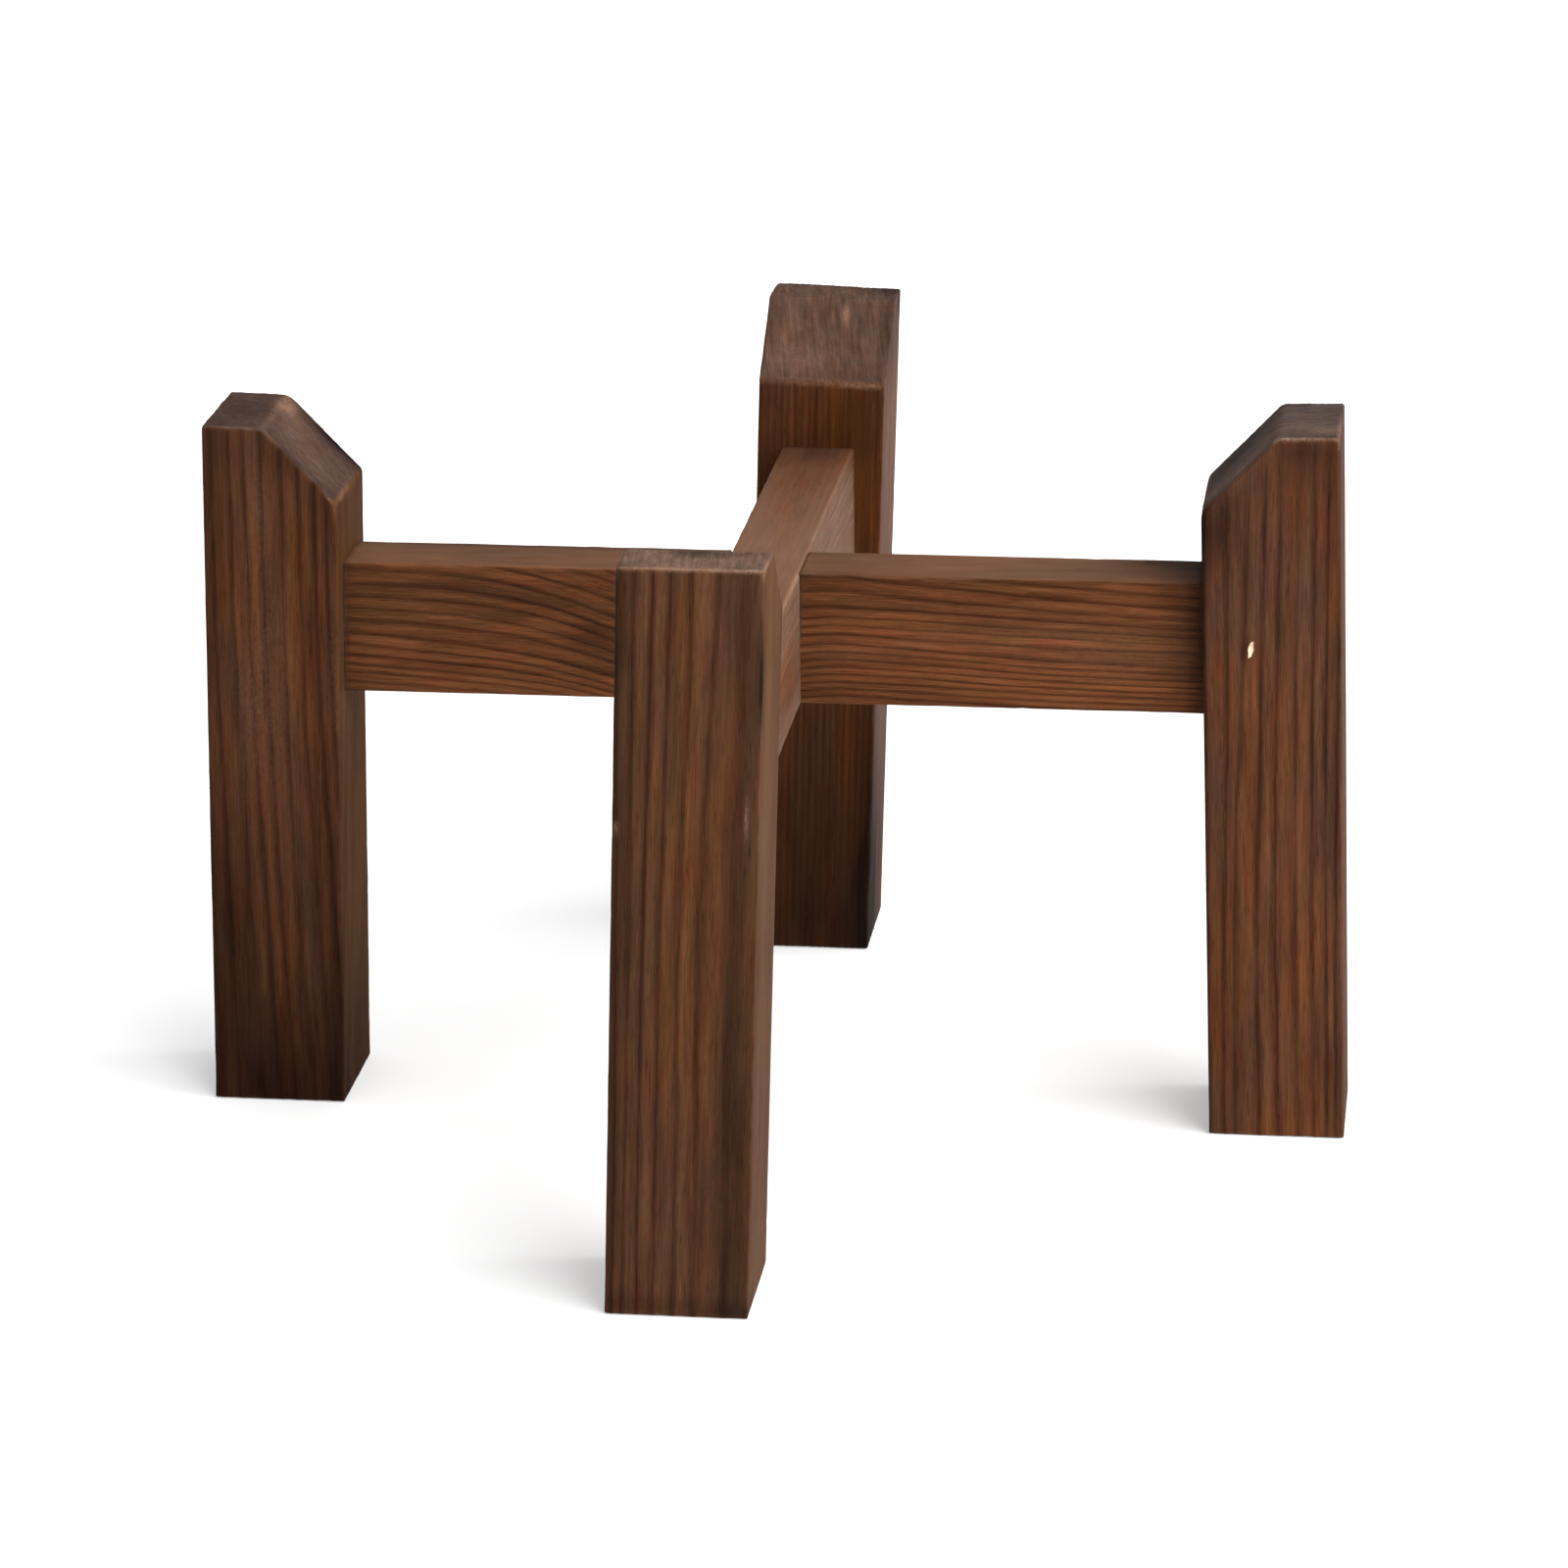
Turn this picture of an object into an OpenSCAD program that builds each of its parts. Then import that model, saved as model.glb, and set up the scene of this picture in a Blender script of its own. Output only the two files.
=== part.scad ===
// Four-post plant stand for a flower pot.
// Two flat rails cross in a flush half-lap. Each rail end carries a stub
// tenon that sits in a blind mortise of a square post and is pinned there
// with one finishing brad. The posts rise above the rails and hold the pot
// between their sloped heads. Millimetres, +Z up, origin on the floor below
// the middle of the left-right rail, front post towards -Y.

/* [Overall size] */
// Clear distance between opposite posts, which takes the pot
clear_w = 254; // [200:1:340]
// Height of the rails' top face above the floor
seat_h = 168; // [90:1:320]
// Height of the posts above the rails' top face
above = 44; // [20:1:90]
// How far right of the left-right rail's middle the front-rear rail crosses it
cross_shift = -2.5; // [-6:0.5:6]

/* [Posts] */
// Side of the square posts
post_w = 40; // [34:0.5:60]
// Depth of the flat part of a post's top, measured from its outer face
top_flat = 18; // [8:0.5:30]
// How far the feet of the left and right posts stand out, in degrees
side_splay = 1.4; // [-3:0.1:3]
// How far the tops of the front and rear posts lean to the right, in degrees
cross_lean = 2.1; // [-3:0.1:3]
// How much the front post's head follows its lean: 0 is a level head
head_follow = 0; // [0:0.1:1]

/* [Hand-cut heights] */
// How much higher the left post's head is than the nominal height
left_extra = -2; // [-4:0.5:4]
// How much higher the right post's head is
right_extra = 1.5; // [-4:0.5:4]
// How much higher the front post's head is
front_extra = 3; // [-4:0.5:4]
// How much higher the rear post's head is
rear_extra = -1; // [-4:0.5:4]

/* [Rails] */
// Thickness of the rails
rail_t = 23; // [16:0.5:30]
// Height of the rails
rail_h = 40; // [26:0.5:60]

/* [Joints] */
// Thickness of the stub tenons
tenon_t = 12; // [6:0.5:14]
// Shoulder above and below each tenon
shoulder = 5; // [2:0.5:8]
// Length of the stub tenons
tenon_l = 24; // [20:0.5:28]
// Glue gap around each tenon and in the half-lap
glue_gap = 0.1; // [0.05:0.05:0.3]

/* [Brads] */
// Diameter of the brads
brad_d = 1.2; // [1:0.1:1.4]
// Diameter of the brads' heads
brad_head_d = 1.6; // [1.6:0.1:2.6]
// Length of the brads
brad_l = 30; // [24:1:31]
// Distance from a post's inner face to its brad
brad_in = 14; // [8:0.5:16]
// Height of the brads above the middle of the rails
brad_up = 2.5; // [-6:0.5:6]

/* [Edges] */
// Width of the eased edges
arris = 1; // [0.4:0.1:2]

/* [Hidden] */

WOOD_POST = "#5b3725";
WOOD_RAIL = "#6a412b";
STEEL = "#a9a49b";

// Distance from the centre to a post's inner face
face_r = clear_w / 2;
// Height of the middle of the rails, where a post's lean pivots
mid_z = seat_h - rail_h / 2;
// Nominal height of a post
post_h = seat_h + above;
// The sloped head falls at 45 degrees where there is room above the rail
slope_run = post_w - top_flat;
slope_drop = min(slope_run, above - 8);
slope_a = atan(slope_drop / slope_run);
// Depth of a blind mortise beyond its tenon
mortise_rest = 1.5;
// Depth of a brad's head below the post's face, and its thickness
brad_sink = 0.8;
brad_head_t = 0.9;
// Extra size of a cutter beyond the solid that it cuts
over = 8;

// Each post: angle around the stand, lean about the Y axis, the side of the
// post that its brad enters, the tilt of its head (in the post's own frame),
// and its extra height
LEFT = [180, side_splay, -1, 0, left_extra];
RIGHT = [0, -side_splay, -1, 0, right_extra];
FRONT = [-90, cross_lean, -1, cross_lean * (1 - head_follow), front_extra];
REAR = [90, cross_lean, 1, 0, rear_extra];

// Where a rail's shoulder meets its post, at the middle of the rail's height
function meet(p) = [face_r * cos(p[0]) + (abs(cos(p[0])) > 0.5 ? 0 : cross_shift),
                    face_r * sin(p[0]), mid_z];

// A w by h section with all four corners cut off by c, centred
module eased_section(w, h, c) {
    polygon([[-w/2 + c, -h/2], [w/2 - c, -h/2], [w/2, -h/2 + c], [w/2, h/2 - c],
             [w/2 - c, h/2], [-w/2 + c, h/2], [-w/2, h/2 - c], [-w/2, -h/2 + c]]);
}

// A section from depth d up to 0 with its two upper corners cut off by c.
// Its sides flare, so that only the post's own section cuts the sides.
module eased_top(w, d, c) {
    f = d / 8;
    polygon([[-w/2 - f, -d], [w/2 + f, -d], [w/2, -c], [w/2 - c, 0],
             [-w/2 + c, 0], [-w/2, -c]]);
}

// From a post's own frame (inner face at x = 0, floor at z = 0) to its place
module place(p) {
    translate(meet(p))
        rotate([0, p[1], 0])
            rotate([0, 0, p[0]])
                translate([0, 0, -mid_z])
                    children();
}

// From a rail end's frame (shoulder at x = 0, rail's middle at z = 0)
module at_rail_end(p) {
    translate(meet(p))
        rotate([0, 0, p[0]])
            children();
}

// Everything below the flat top and the slope, with their edges eased.
// It hangs from the nominal height.
module head() {
    intersection() {
        // top edges along the slope's direction
        translate([-over, 0, post_h])
            rotate([90, 0, 90])
                linear_extrude(height = post_w + 2*over)
                    eased_top(post_w, post_h + 2*over, arris);
        // top edge of the outer face
        translate([0, post_w/2 + 2*over, 0])
            rotate([90, 0, 0])
                linear_extrude(height = post_w + 4*over)
                    polygon([[-over, -2*over], [post_w + over, -2*over],
                             [post_w + over, post_h - arris - over],
                             [post_w - arris, post_h], [-over, post_h]]);
        // sloped head with its own eased edges
        translate([slope_run, 0, post_h])
            rotate([0, -slope_a, 0])
                translate([-2*post_h, 0, 0])
                    rotate([90, 0, 90])
                        linear_extrude(height = 4*post_h)
                            eased_top(post_w, 3*post_h, arris);
    }
}

// The post before its joints, a little too long at the foot
module post_blank(tilt, extra) {
    intersection() {
        // four long edges
        translate([post_w/2, 0, -over])
            linear_extrude(height = post_h + 3*over)
                eased_section(post_w, post_w, arris);
        translate([0, 0, post_h + extra])
            rotate([tilt, 0, 0])
                translate([0, 0, -post_h])
                    head();
    }
}

// The room that a tenon needs in its post
module mortise() {
    translate([-over, -tenon_t/2 - glue_gap, -rail_h/2 + shoulder - glue_gap])
        cube([over + tenon_l + mortise_rest, tenon_t + 2*glue_gap,
              rail_h - 2*shoulder + 2*glue_gap]);
}

// A tenon, rooted 4 mm inside the rail, with its end edges eased
module tenon() {
    h = rail_h - 2*shoulder;
    intersection() {
        translate([-4, -tenon_t/2, -h/2])
            cube([4 + tenon_l, tenon_t, h]);
        translate([0, 0, -h])
            linear_extrude(height = 2*h)
                polygon([[-4, -tenon_t/2], [tenon_l - 1, -tenon_t/2],
                         [tenon_l, -tenon_t/2 + 1], [tenon_l, tenon_t/2 - 1],
                         [tenon_l - 1, tenon_t/2], [-4, tenon_t/2]]);
        translate([0, tenon_t, 0])
            rotate([90, 0, 0])
                linear_extrude(height = 2*tenon_t)
                    polygon([[-4, -h/2], [tenon_l - 1, -h/2],
                             [tenon_l, -h/2 + 1], [tenon_l, h/2 - 1],
                             [tenon_l - 1, h/2], [-4, h/2]]);
    }
}

// Along a brad's axis: z = 0 on the post's face, pointing into the post
module brad_axis(side) {
    translate([brad_in, side * post_w/2, mid_z + brad_up])
        rotate([side * 90, 0, 0])
            children();
}

// A brad driven below the post's face
module brad(p) {
    place(p) brad_axis(p[2]) {
        translate([0, 0, brad_sink])
            cylinder(d = brad_head_d, h = brad_head_t, $fn = 32);
        translate([0, 0, brad_sink])
            cylinder(d = brad_d, h = brad_l - 2, $fn = 32);
        translate([0, 0, brad_sink + brad_l - 2])
            cylinder(d1 = brad_d, d2 = 0.3, h = 2, $fn = 32);
    }
}

// The hole that a brad makes
module brad_hole(p) {
    place(p) brad_axis(p[2]) {
        translate([0, 0, -2])
            cylinder(d = brad_head_d + 0.1, h = 2 + brad_sink + brad_head_t, $fn = 32);
        translate([0, 0, -1])
            cylinder(d = brad_d + 0.1, h = 1 + brad_sink + brad_l + 0.3, $fn = 32);
    }
}

// A finished post, cut level at the floor
module post(p) {
    difference() {
        place(p) post_blank(p[3], p[4]);
        translate([-2*clear_w, -2*clear_w, -4*over])
            cube([4*clear_w, 4*clear_w, 4*over]);
        at_rail_end(p) mortise();
        brad_hole(p);
    }
}

// A rail along X that ends on the inner faces of the posts p and q
module rail(p, q, turn) {
    difference() {
        union() {
            difference() {
                translate([turn == 0 ? 0 : cross_shift, 0, mid_z])
                    rotate([0, 0, turn])
                        rotate([90, 0, 90])
                            translate([0, 0, -face_r - 4])
                                linear_extrude(height = 2*face_r + 8)
                                    eased_section(rail_t, rail_h, arris);
                for (e = [p, q])
                    place(e)
                        translate([0, -post_w, 0])
                            cube([post_w, 2*post_w, post_h + 2*over]);
            }
            for (e = [p, q])
                at_rail_end(e) tenon();
        }
        for (e = [p, q])
            brad_hole(e);
    }
}

// Half-lap cutter across a rail: up = 1 opens the top, up = -1 the underside
module lap(turn, up) {
    translate([cross_shift, 0, mid_z + up * (rail_h/2 + over)/2])
        rotate([0, 0, turn])
            cube([rail_t + 2*glue_gap, rail_t + 2*over, rail_h/2 + over], center = true);
}

module post_left() color(WOOD_POST) post(LEFT);
module post_right() color(WOOD_POST) post(RIGHT);
module post_front() color(WOOD_POST) post(FRONT);
module post_rear() color(WOOD_POST) post(REAR);

// Notched from above: the other rail's top runs through
module rail_left_right() color(WOOD_RAIL)
    difference() {
        rail(LEFT, RIGHT, 0);
        lap(0, 1);
    }

// Notched from below
module rail_front_rear() color(WOOD_RAIL)
    difference() {
        rail(FRONT, REAR, 90);
        lap(90, -1);
    }

module brad_left() color(STEEL) brad(LEFT);
module brad_right() color(STEEL) brad(RIGHT);
module brad_front() color(STEEL) brad(FRONT);
module brad_rear() color(STEEL) brad(REAR);

post_left();
post_right();
post_front();
post_rear();
rail_left_right();
rail_front_rear();
brad_left();
brad_right();
brad_front();
brad_rear();
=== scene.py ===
import math

import bpy
import numpy as np
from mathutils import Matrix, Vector


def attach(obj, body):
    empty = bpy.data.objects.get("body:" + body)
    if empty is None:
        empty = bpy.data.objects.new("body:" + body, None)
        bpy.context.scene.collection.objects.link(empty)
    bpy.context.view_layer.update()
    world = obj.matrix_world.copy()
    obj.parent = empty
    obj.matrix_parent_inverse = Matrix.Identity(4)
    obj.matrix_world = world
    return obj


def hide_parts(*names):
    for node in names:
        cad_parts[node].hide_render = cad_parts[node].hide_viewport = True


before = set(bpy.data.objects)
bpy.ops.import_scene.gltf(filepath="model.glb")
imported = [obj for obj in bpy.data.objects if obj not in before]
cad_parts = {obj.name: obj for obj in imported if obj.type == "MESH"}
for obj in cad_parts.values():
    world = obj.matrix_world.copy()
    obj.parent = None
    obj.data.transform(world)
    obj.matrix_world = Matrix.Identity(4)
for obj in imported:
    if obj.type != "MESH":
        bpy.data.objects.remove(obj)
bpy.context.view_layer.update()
scene = bpy.context.scene

# ---------------------------------------------------------------- sizes, in millimetres
FACE_R = 127.0       # centre to a post's inner face
POST_W = 40.0
POST_H = 212.0
SLOPE = 22.0         # run and drop of the sloped head
RAIL_T = 23.0
RAIL_H = 40.0
SEAT = 168.0
MID = SEAT - RAIL_H / 2
TENON_T, TENON_L, SHOULDER = 12.0, 24.0, 5.0
GAP, REST = 0.1, 1.5
BRAD_IN, BRAD_UP, BRAD_L = 14.0, 2.5, 30.0
BRAD_D, HEAD_D, SINK, HEAD_T = 1.2, 1.6, 0.8, 0.9
CROSS = -2.5         # where the front-rear rail crosses the other, along X

# angle round the stand, lean about the Y axis, side that the brad enters
POSTS = {
    "left": (180.0, 1.4, -1),
    "right": (0.0, -1.4, -1),
    "front": (-90.0, 2.1, -1),
    "rear": (90.0, 2.1, 1),
}
# the front post's head is cut level, so it is tilted in the post's own frame
TILT = {"left": 0.0, "right": 0.0, "front": math.radians(2.1), "rear": 0.0}
# how much higher each post's head is than the nominal height
EXTRA = {"left": -2.0, "right": 1.5, "front": 3.0, "rear": -1.0}


# ---------------------------------------------------------------- small helpers
def rot_y(deg):
    c, s = math.cos(math.radians(deg)), math.sin(math.radians(deg))
    return np.array([[c, 0, s], [0, 1, 0], [-s, 0, c]])


def rot_z(deg):
    c, s = math.cos(math.radians(deg)), math.sin(math.radians(deg))
    return np.array([[c, -s, 0], [s, c, 0], [0, 0, 1]])


def noise(p, size, seed, octaves=1):
    """Smooth noise from -1 to 1 at points p, with lumps of the given size."""
    q = p / np.asarray(size, float) + seed * 17.31
    total, amp, norm = 0.0, 1.0, 0.0
    for o in range(octaves):
        c = np.floor(q).astype(np.int64)
        f = q - c
        f = f * f * (3 - 2 * f)
        v = 0.0
        for dx in (0, 1):
            for dy in (0, 1):
                for dz in (0, 1):
                    h = ((c[:, 0] + dx) * 73856093) ^ ((c[:, 1] + dy) * 19349663) ^ ((c[:, 2] + dz) * 83492791)
                    h = (h ^ (seed * 668265263 + o * 374761393)) & 0xFFFFFFFF
                    h ^= h >> 15
                    h = (h * 2246822519) & 0xFFFFFFFF
                    h ^= h >> 13
                    h = (h * 3266489917) & 0xFFFFFFFF
                    h ^= h >> 16
                    w = (f[:, 0] if dx else 1 - f[:, 0]) * (f[:, 1] if dy else 1 - f[:, 1]) * (f[:, 2] if dz else 1 - f[:, 2])
                    v = v + w * (h / 2147483647.5 - 1)
        total = total + amp * v
        norm += amp
        amp *= 0.5
        q = q * 2.03 + 5.7
    return total / norm


def step(a, b, x):
    t = np.clip((x - a) / (b - a), 0, 1)
    return t * t * (3 - 2 * t)


def blobs(p, spots):
    """Sum of soft blobs: each spot is a centre, a size on each axis and a strength."""
    out = np.zeros(len(p))
    for centre, size, strength in spots:
        r = ((p - np.array(centre, float)) / np.array(size, float)) ** 2
        out += strength * np.exp(-r.sum(1))
    return out


def ticks(lo, hi, pitch, fine=(0.15, 0.35, 0.6, 0.9, 1.25, 1.7, 2.2), extra=()):
    """Grid lines from lo to hi, close together at both ends and round each extra one."""
    out = {lo, hi}
    out |= {lo + f for f in fine} | {hi - f for f in fine}
    a, b = (lo + fine[-1], hi - fine[-1]) if fine else (lo, hi)
    n = max(1, round((b - a) / pitch))
    out |= {a + (b - a) * i / n for i in range(n + 1)}
    for e in extra:
        out = {x for x in out if abs(x - e) > 1.1 or x in (lo, hi)}
        out |= {e + f for f in (-0.9, -0.5, -0.2, 0.0, 0.2, 0.5, 0.9)}
    return np.array(sorted(out))


def box_grid(nx, ny, nz):
    """Lattice places and outward quads of a closed box's skin."""
    skin = np.zeros((nx, ny, nz), bool)
    skin[[0, -1]] = True
    skin[:, [0, -1]] = True
    skin[:, :, [0, -1]] = True
    at = np.full((nx, ny, nz), -1)
    at[skin] = np.arange(skin.sum())
    quads = []
    for a, flip in ((at[:, :, 0], 1), (at[:, :, -1], 0), (at[:, 0, :], 0),
                    (at[:, -1, :], 1), (at[0], 1), (at[-1], 0)):
        q = np.stack([a[:-1, :-1], a[1:, :-1], a[1:, 1:], a[:-1, 1:]], -1).reshape(-1, 4)
        quads.append(q[:, ::-1] if flip else q)
    return np.argwhere(skin), np.concatenate(quads)


def eased(p, normals, offsets, r, rounds=4):
    """Moves points of a sharp solid's skin onto the same solid with its edges rounded by r."""
    for _ in range(rounds):
        m = np.maximum(p @ normals.T - offsets + r[:, None], 0)
        length = np.sqrt((m * m).sum(1)) + 1e-9
        g = (m / length[:, None]) @ normals
        p = p - ((length - r) / np.maximum((g * g).sum(1), 1e-9))[:, None] * g
    return p, g / np.maximum(np.linalg.norm(g, axis=1), 1e-9)[:, None]


def make_object(name, points, faces):
    """A mesh object from points in millimetres of the row frame."""
    me = bpy.data.meshes.new(name)
    me.from_pydata((points / 1000).tolist(), [], [list(map(int, f)) for f in faces])
    me.validate()
    ob = bpy.data.objects.new(name, me)
    scene.collection.objects.link(ob)
    return ob


def cut(ob, tool, operation="DIFFERENCE"):
    mod = ob.modifiers.new("cut", "BOOLEAN")
    mod.operation = operation
    mod.object = tool
    mod.solver = "MANIFOLD"
    bpy.context.view_layer.update()
    made = bpy.data.meshes.new_from_object(ob.evaluated_get(bpy.context.evaluated_depsgraph_get()))
    if len(made.polygons) == 0:
        mod.solver = "EXACT"
        bpy.context.view_layer.update()
        made = bpy.data.meshes.new_from_object(ob.evaluated_get(bpy.context.evaluated_depsgraph_get()))
    ob.modifiers.remove(mod)
    old, ob.data = ob.data, made
    bpy.data.meshes.remove(old)
    gone = tool.data
    bpy.data.objects.remove(tool)
    bpy.data.meshes.remove(gone)
    return ob


def block(name, lo, hi, to_world, ease=0.0, pitch=6.0):
    """A plain cutter or tenon block between two corners, placed by to_world."""
    axes = [ticks(a, b, pitch, (0.25, 0.6, 1.0) if ease else ()) for a, b in zip(lo, hi)]
    ijk, quads = box_grid(*[len(a) for a in axes])
    p = np.stack([axes[i][ijk[:, i]] for i in range(3)], 1)
    if ease:
        normals = np.array([[1, 0, 0], [0, 1, 0], [0, -1, 0], [0, 0, 1], [0, 0, -1.0]])
        offsets = np.array([hi[0], hi[1], -lo[1], hi[2], -lo[2]])
        end = step(hi[0] - 3, hi[0], p[:, 0])
        p, _ = eased(p, normals, offsets, ease * (0.12 + 0.88 * end))
    return make_object(name, to_world(p), quads)


def rod(name, start, axis, length, radius, sides=32):
    """A round cutter from start along axis, in millimetres of the row frame."""
    axis = np.array(axis, float) / np.linalg.norm(axis)
    side = np.cross(axis, [0.0, 0.0, 1.0])
    side /= np.linalg.norm(side)
    up = np.cross(axis, side)
    a = np.arange(sides) * 2 * math.pi / sides
    ring = radius * (np.outer(np.cos(a), side) + np.outer(np.sin(a), up))
    points = np.concatenate([start + ring, start + ring + axis * length])
    faces = [[i, (i + 1) % sides, sides + (i + 1) % sides, sides + i] for i in range(sides)]
    faces += [list(range(sides))[::-1], list(range(sides, 2 * sides))]
    ob = make_object(name, points, faces)
    # outward faces
    v = np.array([x.co for x in ob.data.vertices])
    f = ob.data.polygons[0]
    if np.dot(np.array(f.normal), np.array(f.center) * 1000 - (start + axis * length / 2)) < 0:
        ob.data.flip_normals()
    return ob


# ---------------------------------------------------------------- places
def meet(key):
    """Where a rail's shoulder meets its post, at the middle of the rail's height."""
    a = math.radians(POSTS[key][0])
    return np.array([FACE_R * math.cos(a) + (CROSS if key in ("front", "rear") else 0), FACE_R * math.sin(a), MID])


def post_place(key):
    angle, lean, _ = POSTS[key]
    r = rot_y(lean) @ rot_z(angle)
    t = meet(key)
    m = np.array([0, 0, MID])
    return (lambda p: (p - m) @ r.T + t), (lambda w: (w - t) @ r + m), r, t


def brad_axis(key):
    """Where a post's brad enters, in the row frame, and its direction."""
    place, _, r, _ = post_place(key)
    side = POSTS[key][2]
    start = place(np.array([[BRAD_IN, side * POST_W / 2, MID + BRAD_UP]]))[0]
    return start, r @ np.array([0, -side, 0.0])


def brad_holes(ob, key):
    """The brad's hole; torn fibres hide the head of the right post's brad."""
    start, axis = brad_axis(key)
    over = -(SINK - 0.04) if key == "right" else 2
    cut(ob, rod("cutter", start + axis, axis, SINK + BRAD_L + 0.3 - 1, (BRAD_D + 0.1) / 2))
    cut(ob, rod("cutter", start - over * axis, axis, over + SINK + HEAD_T, (HEAD_D + 0.1) / 2))


# ---------------------------------------------------------------- growth rings
# The dark latewood lines of each face that looks to the front: their distance from that
# face's left edge, at a few heights from the post's top. Between them the rings are
# circles round a pith at (across, deep), so side faces and end grain follow from it.
RINGS = {
    "front": dict(
        pith=(-62.0, 14.0),
        at=(0.0, 0.20, 0.35, 0.55, 0.75, 1.0),
        lines=(
            (-4.5, 1.0, 5.5, 10.5, 15.6, 21.1, 28.5, 36.5, 43.0),
            (-3.6, 1.2, 5.0, 9.8, 14.8, 20.2, 26.5, 35.5, 42.5),
            (-2.6, 1.5, 5.4, 9.4, 14.2, 19.6, 25.0, 34.8, 41.5),
            (-2.0, 2.0, 5.2, 9.1, 13.7, 18.8, 24.1, 34.0, 41.0),
            (-1.4, 2.4, 5.0, 8.8, 13.7, 19.2, 24.9, 33.7, 40.5),
            (-1.5, 2.2, 4.8, 9.1, 13.7, 19.2, 24.8, 33.4, 40.5),
        ),
        step=4.6,
    ),
    "left": dict(
        pith=(-46.0, 46.0),
        at=(0.0, 0.33, 0.53, 0.73, 1.0),
        lines=(
            (-2.0, 3.0, 8.0, 12.2, 17.6, 23.5, 28.6, 33.2, 37.0, 41.0),
            (-1.5, 3.5, 9.2, 14.2, 18.8, 24.0, 29.5, 34.3, 37.6, 42.0),
            (-0.5, 5.0, 10.5, 15.7, 20.2, 25.3, 31.2, 36.2, 40.0, 44.5),
            (1.0, 6.5, 13.0, 17.8, 22.2, 27.5, 33.5, 38.5, 43.0, 47.5),
            (3.0, 8.5, 15.8, 21.0, 26.0, 31.8, 37.2, 42.0, 47.0, 51.0),
        ),
        step=3.4,
    ),
    "right": dict(
        pith=(-16.0, 66.0),
        at=(0.0, 0.15, 0.33, 0.53, 0.73, 1.0),
        lines=(
            (1.2, 8.0, 14.5, 19.5, 24.0, 29.0, 33.5, 37.5, 41.0),
            (1.0, 7.2, 13.2, 18.2, 22.8, 28.0, 32.8, 36.8, 40.5),
            (0.6, 7.6, 11.4, 17.2, 21.7, 26.9, 32.0, 35.9, 39.5),
            (0.3, 6.5, 9.2, 16.0, 20.8, 26.5, 31.3, 35.3, 38.4),
            (0.1, 5.3, 8.0, 14.9, 20.5, 26.3, 31.2, 35.3, 37.9),
            (-0.2, 4.5, 7.6, 15.0, 20.7, 26.5, 31.2, 35.2, 37.6),
        ),
        step=1.7,
    ),
    "rear": dict(
        pith=(86.0, 30.0),
        at=(0.0, 1.0),
        lines=(tuple(x * 2.15 - 1.0 for x in range(20)), tuple(x * 2.15 + 0.6 for x in range(20))),
        step=2.0,
    ),
}


def ring_number(radius, table, outward, pace):
    """Which ring a radius is in, from each point's own table of ring radii."""
    if not outward:
        radius, table = -radius, -table
    k = np.zeros(len(radius))
    n = table.shape[1]
    first, last = table[:, 0], table[:, -1]
    for i in range(n - 1):
        a, b = table[:, i], table[:, i + 1]
        inside = (radius >= a) & (radius < b)
        k[inside] = i + ((radius - a) / np.maximum(b - a, 1e-6))[inside]
    low, high = radius < first, radius >= last
    k[low] = ((radius - first) / pace)[low]
    k[high] = n - 1 + ((radius - last) / pace)[high]
    return k


def post_wood(key, own):
    """Wood coordinates of points in a post's own frame: across and deep as seen from the front, and height; and the ring number."""
    x, y, z = own.T
    across, deep = {
        "front": (y + 20, 40 - x),
        "left": (40 - x, 20 - y),
        "right": (x, y + 20),
        "rear": (20 - y, x),
    }[key]
    z = z - EXTRA[key]
    wood = np.stack([across, deep, z], 1)
    spec = RINGS[key]
    drop = np.clip(1 - z / POST_H, 0, 1)
    lines = np.array(spec["lines"], float)
    at = np.array(spec["at"])
    place = sum(np.stack([np.interp(drop + o, at, lines[:, i]) for i in range(lines.shape[1])], 1)
                for o in (-0.08, -0.04, 0, 0.04, 0.08)) / 5
    ps, pd = spec["pith"]
    table = np.sqrt((place - ps) ** 2 + pd ** 2)
    wob = 0.55 * noise(wood, (30, 30, 70), 3 + len(key)) + 0.16 * noise(wood, (9, 9, 26), 11 + len(key), 2)
    wob = wob * (0.35 + 0.65 * step(0, 8, deep))
    radius = np.sqrt((across - ps) ** 2 + (deep - pd) ** 2) + wob
    return wood, ring_number(radius, table, ps < 20, spec["step"])


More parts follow.
